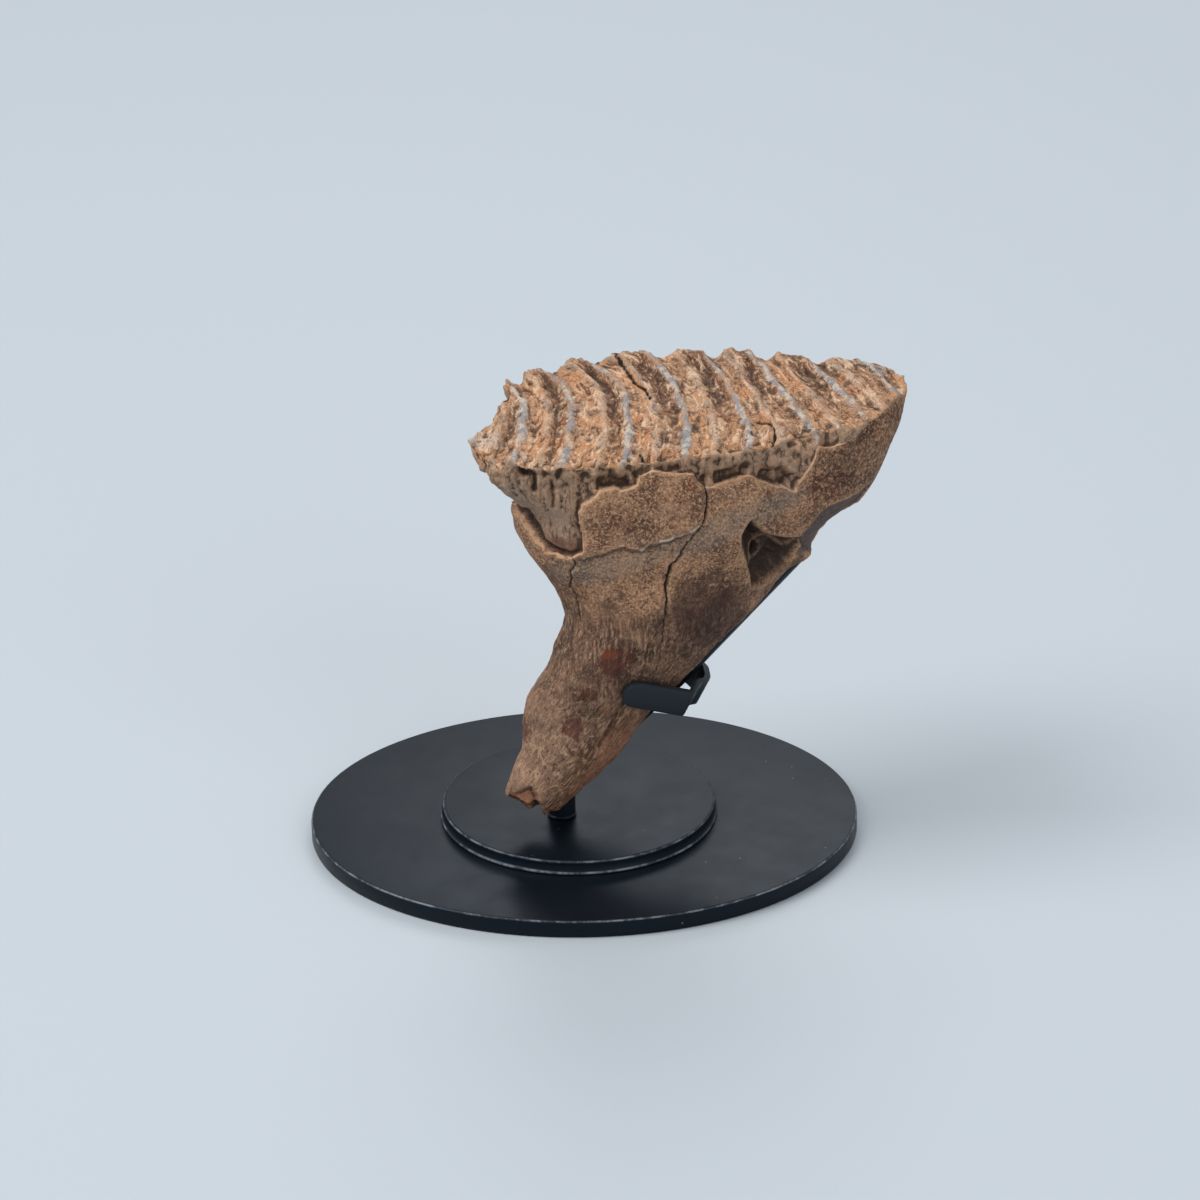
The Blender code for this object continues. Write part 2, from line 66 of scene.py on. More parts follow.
def lineDistance(points, line):
    # distance of flat points to an open line
    best = np.full(len(points), np.inf)
    for first, second in zip(line[:-1], line[1:]):
        a = np.array(first, float)
        along = np.array(second, float) - a
        t = np.clip((points - a) @ along / (along @ along), 0.0, 1.0)
        best = np.minimum(best, np.linalg.norm(points - a - t[:, None] * along, axis=1))
    return best


def insideOutline(points, outline):
    result = np.zeros(len(points), bool)
    for (x0, z0), (x1, z1) in zip(outline, outline[1:] + outline[:1]):
        crosses = (z0 > points[:, 1]) != (z1 > points[:, 1])
        at = x0 + (points[:, 1] - z0) * (x1 - x0) / (z1 - z0 if z1 != z0 else 1e-9)
        result ^= crosses & (points[:, 0] < at)
    return result


def outlineDepth(points, outline):
    # how far inside a closed outline, 0 outside
    return np.where(insideOutline(points, outline), lineDistance(points, outline + outline[:1]), 0.0)


def latticeNoise(points, size, seed):
    # smooth random values from -1 to 1 on a lattice of the given size
    place = points / size + seed * 17.31
    cell = np.floor(place).astype(np.int64)
    f = place - cell
    f = f * f * f * (f * (f * 6 - 15) + 10)
    total = np.zeros(len(points))
    for corner in range(8):
        step = np.array([corner & 1, corner >> 1 & 1, corner >> 2 & 1])
        key = (cell + step) @ np.array([73856093, 19349663, 83492791]) + seed * 1013
        key = (key ^ key >> 13) * 1274126177 & 0x7FFFFFFF
        key = (key ^ key >> 15) * 668265263 & 0x7FFFFFFF
        value = (key >> 8 & 0xFFFF) / 32767.5 - 1.0
        total += value * np.prod(np.where(step, f, 1.0 - f), axis=1)
    return total


def cloudNoise(points, size, seed, octaves=3):
    total = np.zeros(len(points))
    for k in range(octaves):
        total += latticeNoise(points, size / 2**k, seed + k) / 2**k
    return total / 1.5


# Small helpers: meshes and objects

def evaluatedMesh(piece):
    graph = bpy.context.evaluated_depsgraph_get()
    graph.update()
    return bpy.data.meshes.new_from_object(piece.evaluated_get(graph))


def closedMesh(work, name):
    bmesh.ops.recalc_face_normals(work, faces=work.faces)
    mesh = bpy.data.meshes.new(name)
    work.to_mesh(mesh)
    work.free()
    return mesh


def shadeEdges(mesh, degrees):
    mesh.shade_smooth()
    mesh.set_sharp_from_angle(angle=math.radians(degrees))


def placePiece(name, mesh, material):
    piece = bpy.data.objects.new(name, mesh)
    mesh.materials.clear()
    mesh.materials.append(material)
    bpy.context.scene.collection.objects.link(piece)
    return piece


def readVectors(mesh, what):
    values = np.empty(len(mesh.vertices) * 3)
    mesh.vertices.foreach_get(what, values)
    return values.reshape(-1, 3)


def writePoints(mesh, points):
    mesh.vertices.foreach_set("co", points.ravel())
    mesh.update()


def storeValue(mesh, name, values):
    kind = "FLOAT_VECTOR" if values.ndim == 2 else "FLOAT"
    layer = mesh.attributes.get(name) or mesh.attributes.new(name, kind, "POINT")
    layer.data.foreach_set("vector" if values.ndim == 2 else "value", values.ravel().astype(np.float32))


def dressNode(piece, node):
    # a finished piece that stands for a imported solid
    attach(piece, "root")
    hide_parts(node)


# Small helpers: shader and geometry nodes

def srgb(red, green, blue):
    linear = [((c / 255 + 0.055) / 1.055) ** 2.4 if c > 10 else c / 255 / 12.92 for c in (red, green, blue)]
    return (*linear, 1.0)


def addNode(tree, kind, inputs=None, **settings):
    node = tree.nodes.new(kind)
    for name, value in settings.items():
        setattr(node, name, value)
    for socket, value in (inputs or {}).items():
        if isinstance(value, bpy.types.NodeSocket):
            tree.links.new(value, node.inputs[socket])
        else:
            node.inputs[socket].default_value = value
    return node


def treeOf(*values):
    # the node tree that the sockets among the values belong to
    return next(v.id_data for v in values if isinstance(v, bpy.types.NodeSocket))


def mathNode(operation, a, b=0.0, clamp=False):
    node = addNode(treeOf(a, b), "ShaderNodeMath", {0: a, 1: b}, operation=operation, use_clamp=clamp)
    return node.outputs[0]


def times(product, *others):
    for other in others:
        product = mathNode("MULTIPLY", product, other)
    return product


def plus(a, b):
    return mathNode("ADD", a, b)


def minus(a, b):
    return mathNode("SUBTRACT", a, b)


def mixColour(share, a, b):
    return addNode(treeOf(share, a, b), "ShaderNodeMix", {0: share, 6: a, 7: b}, data_type="RGBA").outputs[2]


def mixValue(share, a, b):
    return addNode(treeOf(share, a, b), "ShaderNodeMix", {0: share, 2: a, 3: b}, data_type="FLOAT").outputs[0]


def remap(value, low, high, toLow=0.0, toHigh=1.0, smooth=True):
    node = addNode(treeOf(value), "ShaderNodeMapRange", {0: value, 1: low, 2: high, 3: toLow, 4: toHigh},
                   interpolation_type="SMOOTHSTEP" if smooth else "LINEAR")
    return node.outputs[0]


def noiseNode(vector, scale, detail=4.0, rough=0.6, distortion=0.0):
    inputs = {"Vector": vector, "Scale": scale, "Detail": detail, "Roughness": rough,
              "Distortion": distortion}
    return addNode(treeOf(vector), "ShaderNodeTexNoise", inputs).outputs["Fac"]


def attributeNode(tree, name, output="Fac"):
    return addNode(tree, "ShaderNodeAttribute", attribute_name=name).outputs[output]


def newGroup(name, inputs, outputs):
    group = bpy.data.node_groups.new(name, "ShaderNodeTree")
    for title, kind, value in inputs:
        socket = group.interface.new_socket(title, in_out="INPUT", socket_type=kind)
        if value is not None:
            socket.default_value = value
    for title, kind in outputs:
        group.interface.new_socket(title, in_out="OUTPUT", socket_type=kind)
    return group, group.nodes.new("NodeGroupInput"), group.nodes.new("NodeGroupOutput")


def newMaterial(name):
    material = bpy.data.materials.new(name)
    material.use_nodes = True
    return material, material.node_tree, material.node_tree.nodes["Principled BSDF"]


# Camera: it looks along +Y from above, with a long lens
camera = {
    "pitch": 24.54,            # degrees down
    "roll": -1.0,
    "distance": 1211.5,
    "aim": (5.38, 0.0, 68.5),
    "lens": 135.0,
    "sensor": 36.0,
    "clip": (50.0, 20000.0),
}


def makeCamera():
    pitch = math.radians(camera["pitch"])
    roll = math.radians(camera["roll"])
    forward = Vector((0.0, math.cos(pitch), -math.sin(pitch)))
    right = Vector((1.0, 0.0, 0.0))
    up = right.cross(forward)
    turnedRight = right * math.cos(roll) + up * math.sin(roll)
    turnedUp = up * math.cos(roll) - right * math.sin(roll)
    data = bpy.data.cameras.new("camera")
    data.lens = camera["lens"]
    data.sensor_width = camera["sensor"]
    data.clip_start, data.clip_end = (distance * mm for distance in camera["clip"])
    eye = bpy.data.objects.new("camera", data)
    place = (Vector(camera["aim"]) - forward * camera["distance"]) * mm
    turn = Matrix((turnedRight, turnedUp, -forward)).transposed().to_4x4()
    eye.matrix_world = Matrix.Translation(place) @ turn
    bpy.context.scene.collection.objects.link(eye)
    bpy.context.scene.camera = eye


# Floor and light
studio = {
    "floorHalf": 4000.0,
    "floorColour": (192, 200, 207),
    "floorRough": 0.55,
    "lightTarget": (15.0, 0.0, 70.0),
    "worldColour": (0.83, 0.88, 0.93),
    "worldStrength": 0.50,
    "softboxes": [             # name, place, half size, watts, tint
        ("topLeft", (-1150.0, -260.0, 1750.0), 640.0, 29.5, (1.0, 0.99, 0.97)),
        ("frontRight", (1300.0, -1700.0, 1200.0), 700.0, 11.0, (0.97, 0.99, 1.0)),
        ("behind", (300.0, 1700.0, 1500.0), 600.0, 10.7, (0.98, 0.99, 1.0)),
    ],
}


def makeStudio():
    scene = bpy.context.scene
    scene.view_settings.view_transform = "Standard"
    half = studio["floorHalf"] * mm
    mesh = bpy.data.meshes.new("floor")
    corners = [(-half, -half, 0), (half, -half, 0), (half, half, 0), (-half, half, 0)]
    mesh.from_pydata(corners, [], [(0, 1, 2, 3)])
    material, _, shader = newMaterial("paleFloor")
    shader.inputs["Base Color"].default_value = srgb(*studio["floorColour"])
    shader.inputs["Roughness"].default_value = studio["floorRough"]
    floor = placePiece("floor", mesh, material)

    world = bpy.data.worlds.new("studio")
    world.use_nodes = True
    sky = world.node_tree.nodes["Background"]
    sky.inputs["Color"].default_value = (*studio["worldColour"], 1.0)
    sky.inputs["Strength"].default_value = studio["worldStrength"]
    scene.world = world
    target = Vector(studio["lightTarget"]) * mm
    for name, place, size, watts, tint in studio["softboxes"]:
        data = bpy.data.lights.new(name, "AREA")
        data.shape = "SQUARE"
        data.size = 2 * size * mm
        data.energy = watts
        data.color = tint
        lamp = bpy.data.objects.new(name, data)
        lamp.location = Vector(place) * mm
        lamp.rotation_euler = (target - lamp.location).to_track_quat("-Z", "Y").to_euler()
        scene.collection.objects.link(lamp)


# Shader groups that both finishes use

def dustGroup():
    # light specks and a soft film that settle on faces that look up
    group, inside, out = newGroup(
        "settledDust",
        [("Vector", "NodeSocketVector", None), ("Speck Scale", "NodeSocketFloat", 400.0),
         ("Share", "NodeSocketFloat", 0.08), ("Amount", "NodeSocketFloat", 0.5)],
        [("Specks", "NodeSocketFloat"), ("Film", "NodeSocketFloat")])
    geometry = group.nodes.new("ShaderNodeNewGeometry")
    split = addNode(group, "ShaderNodeSeparateXYZ", {0: geometry.outputs["Normal"]})
    upward = remap(split.outputs[2], 0.1, 0.9)
    cells = addNode(group, "ShaderNodeTexVoronoi", {"Vector": inside.outputs["Vector"],
                                                    "Scale": inside.outputs["Speck Scale"]})
    near = remap(cells.outputs["Distance"], 0.16, 0.06)
    pick = addNode(group, "ShaderNodeSeparateColor", {0: cells.outputs["Color"]})
    chosen = mathNode("LESS_THAN", pick.outputs[0], inside.outputs["Share"])
    specks = times(near, chosen, inside.outputs["Amount"])
    cloud = noiseNode(inside.outputs["Vector"], 22.0, 5.0, 0.6)
    film = times(remap(cloud, 0.35, 0.8), upward, inside.outputs["Amount"])
    group.links.new(specks, out.inputs["Specks"])
    group.links.new(film, out.inputs["Film"])
    return group


def placeDust(tree, group, vector, speckScale, share, amount):
    inputs = {"Vector": vector, "Speck Scale": speckScale, "Share": share, "Amount": amount}
    node = addNode(tree, "ShaderNodeGroup", inputs, node_tree=group)
    return node.outputs["Specks"], node.outputs["Film"]


# Tooth: the smooth form, the same one as the solid's
toothForm = {
    "tableCentre": (30.5, 1.5, 123.4),
    "tableTilt": 8.0,          # degrees, far side higher
    "tableOutline": [
        (-27.9, -14.2), (-26, -9.8), (-20.9, -0.8), (-19.4, 6.5), (-18.3, 14.6), (-10.5, 21.3), (3, 28),
        (20, 30), (38, 30), (56, 27.5), (74, 24), (85, 19.5), (88.4, 12), (84, 3), (74, -8.5), (60, -12.5),
        (46, -20.5), (28, -23.8), (10, -27.2), (-8, -28.6), (-16, -26), (-22, -20.6), (-26.2, -17.3),
    ],
    # height, left, right, middle's depth, slant, front half, back half, squareness
    "sections": [
        (117.0, -27.8, 87.0, 0.8, 0.20, 26.8, 29.5, 2.4),
        (111.0, -23.3, 84.8, 0.2, 0.21, 27.2, 29.0, 2.3),
        (104.0, -16.9, 82.2, 0.0, 0.22, 27.0, 28.5, 2.2),
        (97.0, -16.8, 78.6, -0.8, 0.24, 26.5, 27.5, 2.1),
        (94.0, -15.3, 76.0, -1.4, 0.25, 26.0, 26.8, 2.1),
        (91.0, -13.8, 70.5, -2.0, 0.26, 25.5, 26.0, 2.1),
        (88.5, -12.2, 66.9, -2.5, 0.26, 24.9, 25.2, 2.1),
        (84.0, -9.2, 63.4, -3.5, 0.28, 23.8, 23.8, 2.0),
        (80.0, -6.9, 58.6, -4.5, 0.29, 22.6, 22.6, 2.0),
        (76.0, -4.9, 54.4, -5.5, 0.30, 21.5, 21.5, 2.0),
        (71.5, -3.6, 51.0, -6.6, 0.30, 20.4, 20.6, 2.0),
        (68.0, -4.1, 47.5, -7.3, 0.30, 19.7, 20.0, 2.0),
        (63.0, -6.4, 42.0, -8.4, 0.30, 18.3, 18.7, 2.0),
        (58.0, -8.4, 36.5, -9.5, 0.30, 17.0, 17.5, 2.0),
        (49.0, -14.3, 27.3, -12.0, 0.28, 14.5, 14.5, 2.0),
        (41.0, -16.4, 19.3, -14.5, 0.26, 13.0, 12.0, 2.0),
        (33.0, -17.3, 12.0, -17.0, 0.24, 12.0, 10.5, 2.1),
        (26.0, -20.0, 4.5, -19.3, 0.20, 10.5, 9.0, 2.1),
        (20.0, -21.0, -3.0, -21.0, 0.15, 8.8, 8.0, 2.1),
        (15.5, -19.5, -8.5, -22.0, 0.10, 6.0, 6.0, 2.1),
    ],
    "around": 200,
    "levels": 150,
    "voxel": 0.62,
    "quickVoxel": 0.95,
    "tiltFade": 45.0,          # the table's tilt dies out this far down
}
plateRow = {
    "yaw": 17.0,               # the row's direction in plan
    "lean": 0.10,
    "leanChange": 0.0055,
    "frontBow": 0.004,         # the rows' ends bend towards the small end
    "backBow": 0.0235,
    # where the enamel lines lie along the row, and the even places they are drawn to
    "lineFound": [-54, -47.3, -39.8, -33.7, -23.8, -17.7, -10, -2.4,
                  4.7, 12.6, 18, 25.5, 31.9, 39.4, 44.8, 52],
    "pitch": 13.4,
    "first": -5.0,
    "half": 3.35,              # middle of a plate to its enamel
    "enamelRise": 0.75,
    "enamelWidth": 0.8,
    "cementDrop": 0.55,
    "backRise": 1.3,           # plates stand higher along the back edge
    "backReach": 7.0,
    "dentineDish": 1.5,
    "waveHeight": 1.8,
    "waveLength": 6.0,
    "crimpHeight": 0.8,
    "crimpLength": 2.0,
    "seed": 4.0,
}
crust = {
    # broken edge of the outer crust on the front, as X and Z
    "edge": [
        (-24, 100), (-17.6, 100.8), (-15, 101.5), (-12.6, 98.8), (-10.6, 96.6), (-8.2, 95),
        (-4.9, 94.2), (-1.7, 94), (1.2, 95.6), (1.4, 98.8), (0.7, 101.7), (0.3, 104.6), (0.3, 106.9),
        (1.4, 109.6), (3.8, 111.3), (5.9, 113), (9.3, 113.8), (11.6, 113), (13.7, 113.5),
        (15.5, 114), (15.9, 116.7), (18.1, 117.3), (21.5, 117.1), (24.6, 116.5), (27.5, 115.8),
        (30.1, 115.9), (31.1, 114), (33.2, 112), (35.8, 111.8), (39, 112.5), (42.4, 113.4),
        (44.7, 114), (48.2, 111.6), (51.6, 110.1), (56.9, 107.6), (58.5, 110.3), (59.8, 112.5),
        (61.4, 114.6), (63.1, 117.9), (66.3, 117.7), (70.3, 117.9), (76, 121), (82, 125),
    ],
    "dropBack": 12.0,          # the same edge on the back, below the table
    "depth": 2.0,              # how far the plates stand back from the crust
    "plateRise": 1.2,
    "seam": [
        (-0.7, 92.5), (3.1, 94.6), (6.1, 95.2), (8.5, 96.5), (11.1, 97), (16.8, 95.8),
        (18.4, 97.8), (23.8, 98.2), (28.5, 99.6), (32, 101.5),
    ],
    "seamStep": 0.9,
    # pockets in the broken band: X, Z, half width, half height, depth
    "pockets": [
        (9.0, 115.6, 5.4, 2.8, 3.4), (23.5, 117.6, 3.2, 1.2, 1.2), (40.0, 114.2, 5.5, 2.8, 2.8),
        (51.5, 111.8, 4.5, 3.2, 3.0), (-14.8, 117.4, 1.9, 1.5, 1.8), (-11.6, 114.6, 1.3, 3.4, 1.4),
        (-7.0, 112.0, 0.9, 5.5, 0.9), (-4.8, 117.4, 1.2, 1.8, 1.6), (57.3, 109.8, 1.4, 2.4, 1.6),
        (-17.0, 111.0, 1.4, 4.0, 0.5), (2.5, 115.5, 2.0, 3.0, 1.6),
    ],
}
breaks = {
    "mainCrack": [
        (29.5, 118.0), (30.1, 116.1), (31.4, 114), (33.4, 112), (33.7, 109.3), (33.4, 105.2),
        (32.8, 103), (31.5, 100.3), (29.7, 98.6), (28.1, 96.3), (26.7, 93.6), (25.4, 92),
        (24.1, 91), (23.5, 88.7), (22.7, 85.7), (22.5, 83.3), (22.9, 80), (22.2, 75), (21.6, 69),
        (20.6, 62), (19.6, 56),
    ],
    "sideCrack": [
        (-1.7, 94.2), (-0.7, 92.2), (-2.1, 90.1), (-1.9, 87), (-2.7, 84.5), (-1.2, 81.4),
        (-0.8, 77), (0, 73.5),
    ],
    "lowCrack": [(17.8, 68), (16.4, 59.4), (15.6, 52)],
    # how wide the main crack gapes, by height
    "crackWidths": [(60, 0.4), (75, 0.55), (82, 0.8), (86, 1.2), (90, 1.2), (93, 0.6), (97, 0.45),
                    (103, 0.6), (112, 0.9)],
    "crackDepth": 1.3,
    "crackHalf": 0.34,
    # cracks in the chewing table, as X and Y
    "tableCracks": [
        [(9.5, 31.0), (11.8, 27.2), (13.1, 23.4), (14.5, 19.2), (15.5, 15.8), (18.0, 12.7), (19.8, 6.0)],
        [(48.0, -5.1), (50.6, -6.9), (51.9, -9.7), (51.8, -14.1), (51.4, -16.7), (50.0, -20.5)],
        [(19.4, -29.0), (17.9, -25.6), (16.5, -21.1)],
    ],
    "hollow": [                # as X and Z
        (45.9, 102.3), (48.2, 99), (49.1, 97.3), (52.9, 95.1), (57.9, 92.8), (60.5, 91),
        (60, 87.5), (57.5, 84), (55.6, 81.2), (52, 78.4), (48.6, 76.4), (45.2, 78), (45, 83),
        (43.4, 88.7), (42.1, 92.9), (42.4, 97.4), (44.2, 101),
    ],
    "hollowDepth": 7.0,
    "hollowPit": (48.6, 85.4, 3.4, 3.6),   # X, Z, radius, depth
    "hollowLedge": [(44.9, 85.0), (45.8, 88), (48.2, 91.2), (51.9, 91), (56.2, 86.4), (59, 88.5)],
    "facetPoint": (59.5, -13.0, 90.3),
    "facetNormal": (0.604, -0.397, -0.690),
    "facetStep": 0.9,
    "facetOutline": [
        (57.6, 91.6), (60.9, 95), (63.6, 98.6), (66.6, 100.6), (70.0, 100.2), (74.0, 100.6), (79.0, 101.5),
        (88, 99), (80, 88), (68, 78), (60, 84), (58.5, 88),
    ],
    "furrow": [(14.5, 52.5), (11.5, 49.0), (7.4, 42.0), (4.5, 38.0)],
    "tipPoint": (-12.0, -22.0, 19.6),
    "tipNormal": (-0.25, -0.45, -0.86),
    # how much lower the broken tip reaches, by X
    "tipJags": [(-21, 0.5), (-17.5, 1.6), (-15, 3.2), (-13.4, 1.2), (-11.9, 1.0), (-11, 4.2), (-9.6, 2.2),
                (-7.5, 1.6), (-4.5, 0.4)],
    "tipNotch": [(-20.4, 23.8), (-16.5, 26.6), (-13.4, 28.3), (-12.0, 25.0), (-11.2, 21.5),
                 (-12.5, 18.0), (-19, 18)],
}
# soft dents and swellings: X, Y, Z, radius, height (negative is a dent)
lumps = [
    (-16.8, -14.0, 40.5, 1.8, 1.5), (-15.0, -18.0, 36.0, 3.5, -1.2),
    (61.0, -2.0, 81.5, 4.5, 2.4), (80.0, 21.0, 125.0, 4.0, 1.6), (6.0, 9.0, 60.0, 9.0, -2.6),
    (22.0, 27.0, 92.0, 10.0, -1.8), (-20.5, 9.5, 123.0, 4.0, -2.2),
]


def tableRadius(angles):
    outline = np.array(toothForm["tableOutline"], float) - np.array(toothForm["tableCentre"][:2])
    count = len(outline)
    smooth = []
    for i in range(count):
        a, b, c, d = (outline[(i + k - 1) % count] for k in range(4))
        for t in np.linspace(0.0, 1.0, 16, endpoint=False):
            smooth.append(0.5 * (2 * b + (c - a) * t + (2 * a - 5 * b + 4 * c - d) * t**2
                                 + (3 * b - a - 3 * c + d) * t**3))
    smooth = np.array(smooth)
    around = np.arctan2(smooth[:, 1], smooth[:, 0])
    order = np.argsort(around)
    return np.interp(angles, around[order], np.hypot(smooth[:, 0], smooth[:, 1])[order], period=2 * np.pi)


def sectionRadius(section, angles):
    _, left, right, _, slant, front, back, square = section
    turn = np.linspace(0.0, 2 * np.pi, 720, endpoint=False)
    cosine, sine = np.cos(turn), np.sin(turn)
    x = (right - left) / 2 * np.sign(cosine) * np.abs(cosine) ** (2 / square)
    y = slant * x + np.where(sine > 0, back, front) * np.sign(sine) * np.abs(sine) ** (2 / square)
    around = np.arctan2(y, x)
    order = np.argsort(around)
    return np.interp(angles, around[order], np.hypot(x, y)[order], period=2 * np.pi)


def toothLoft():
    # closed mesh through the sections, from the chewing plane down to the root tip
    sections = toothForm["sections"]
    centre = toothForm["tableCentre"]
    angles = np.linspace(-np.pi, np.pi, toothForm["around"], endpoint=False)
    drops = np.array([0.0] + [centre[2] - s[0] for s in sections])
    radii = np.array([tableRadius(angles)] + [sectionRadius(s, angles) for s in sections])
    middles = np.array([centre[:2]] + [((s[1] + s[2]) / 2, s[3]) for s in sections])
    tilts = math.tan(math.radians(toothForm["tableTilt"])) * np.clip(1 - drops / toothForm["tiltFade"], 0, 1)
    levels = np.linspace(0.0, drops[-1], toothForm["levels"])
    radii = hermiteRows(drops, radii, levels)
    middles = hermiteRows(drops, middles, levels)
    tilts = np.interp(levels, drops, tilts)
    work = bmesh.new()
    rows = []
    for k, drop in enumerate(levels):
        x = radii[k] * np.cos(angles)
        y = radii[k] * np.sin(angles)
        ring = np.stack([middles[k, 0] + x, middles[k, 1] + y, centre[2] - drop + tilts[k] * y], -1)
        rows.append([work.verts.new(p * mm) for p in ring])
    for upper, lower in zip(rows[:-1], rows[1:]):
        for i in range(len(upper)):
            j = (i + 1) % len(upper)
            work.faces.new((upper[j], upper[i], lower[i], lower[j]))
    work.faces.new(rows[0])
    work.faces.new(rows[-1][::-1])
    return closedMesh(work, "toothForm")


# Tooth: fields over the surface, in millimetres

def tableDrop(points):
    rise = math.tan(math.radians(toothForm["tableTilt"]))
    plane = toothForm["tableCentre"][2] + rise * (points[:, 1] - toothForm["tableCentre"][1])
    return (plane - points[:, 2]) * math.cos(math.radians(toothForm["tableTilt"]))


def rowPlaces(points):
    # along the row of plates, drawn so that the enamel lines come evenly, and across it
    yaw = math.radians(plateRow["yaw"])
    x = points[:, 0] - toothForm["tableCentre"][0]
    y = points[:, 1] - toothForm["tableCentre"][1]
    along = x * math.cos(yaw) + y * math.sin(yaw)
    across = np.clip(y * math.cos(yaw) - x * math.sin(yaw), -30.0, 36.0)
    place = (along - plateRow["lean"] * across) / (1.0 - plateRow["leanChange"] * across)
    bend = plateRow["frontBow"] * np.minimum(across - 8.0, 0.0) ** 2 * smoothStep(25.0, 5.0, place)
    smallEnd = 0.27 + 0.73 * smoothStep(15.0, -30.0, place)
    place += bend + plateRow["backBow"] * np.maximum(across - 12.0, 0.0) ** 2 * smallEnd
    found = np.array(plateRow["lineFound"], float)
    even = plateRow["first"] + (np.arange(len(found)) - 6.5) * plateRow["pitch"] / 2
    place = np.where(place < found[0], place - found[0] + even[0], np.where(
        place > found[-1], place - found[-1] + even[-1], np.interp(place, found, even)))
    return place, across


def backGap(points):
    # distance in plan to the table's back edge
    outline = toothForm["tableOutline"]
    back = [p for p in outline if p[1] > -16.0 and (p[0] < -15.0 or p[1] > 1.0)]
    back.sort(key=lambda p: p[0])
    return lineDistance(points[:, :2], back)


def frontGap(points):
    outline = toothForm["tableOutline"]
    front = sorted((p for p in outline if p[1] < -8.0), key=lambda p: p[0])
    return lineDistance(points[:, :2], front)


def grainPlaces(points):
    # places relative to the section's middle, drawn out along the root
    sections = np.array(toothForm["sections"])[::-1]
    middleX = np.interp(points[:, 2], sections[:, 0], (sections[:, 1] + sections[:, 2]) / 2)
    middleY = np.interp(points[:, 2], sections[:, 0], sections[:, 3])
    stretch = 0.35
    return np.stack([points[:, 0] - middleX, points[:, 1] - middleY, points[:, 2] * stretch], -1)


def crustSide(points, front):
    # distance to the crust's broken edge, above zero where the crust is gone
    flat = points[:, [0, 2]]
    gone = crust["edge"] + [(99, 125), (99, 150), (-60, 150), (-60, 100)]
    ahead = np.where(insideOutline(flat, gone), 1.0, -1.0) * lineDistance(flat, gone[:-3])
    ahead += 0.45 * cloudNoise(points, 2.4, 31)
    shrink = 1.0 - smoothStep(50.0, 78.0, points[:, 0])
    wander = 3.0 * latticeNoise(points, 9.0, 32) + 1.2 * latticeNoise(points, 3.0, 33)
    behind = (crust["dropBack"] + wander) * shrink - tableDrop(points)
    return behind + (ahead - behind) * front


def gatherFields(points, normals):
    fields = {}
    tilt = math.radians(toothForm["tableTilt"])
    upright = np.array((0.0, -math.sin(tilt), math.cos(tilt)))
    drop = tableDrop(points)
    facing = normals @ upright
    fields["upright"] = upright
    fields["drop"] = drop
    fields["front"] = smoothStep(0.25, 0.0, normals[:, 1])
    fields["wall"] = np.clip(smoothStep(0.9, 0.6, facing) + (drop > 6.0), 0.0, 1.0)
    fields["tableShare"] = smoothStep(6.0, 0.5, drop)
    atEnd = 0.5 * smoothStep(-17.0, -25.0, points[:, 0])
    fields["tableTone"] = smoothStep(0.55, 0.8, facing + atEnd) * smoothStep(4.0, 2.0, drop)
    fields["rowPlace"], fields["rowAcross"] = rowPlaces(points)
    fields["backGap"] = backGap(points)
    fields["crustSide"] = crustSide(points, fields["front"])
    fields["exposed"] = smoothStep(-0.3, 0.3, fields["crustSide"])
    fields["grain"] = grainPlaces(points)
    flat = points[:, [0, 2]]
    hollow = outlineDepth(flat, breaks["hollow"])
    hollow = hollow * (1.0 + 0.25 * latticeNoise(points, 3.5, 41))
    fields["hollow"] = fields["front"] * smoothStep(0.0, 3.4, hollow)
    jitter = 0.3 * latticeNoise(points, 1.4, 42) + 0.2 * latticeNoise(points, 0.8, 43)
    for name in ("mainCrack", "sideCrack", "lowCrack"):
        line = np.array(breaks[name])[::-1]
        side = points[:, 0] - np.interp(points[:, 2], line[:, 1], line[:, 0])
        fields[name] = np.where(side < 0, -1.0, 1.0) * lineDistance(flat, breaks[name]) + jitter
    widths = np.array(breaks["crackWidths"], float)
    fields["mainCrack"] /= np.interp(points[:, 2], widths[:, 0], widths[:, 1])
    gap = np.full(len(points), 9.0)
    for line in breaks["tableCracks"]:
        gap = np.minimum(gap, lineDistance(points[:, :2], line))
    fields["tableCrack"] = gap + 0.6 * jitter
    return fields


def crackCut(offset, half):
    return np.exp(-((offset / half) ** 2))


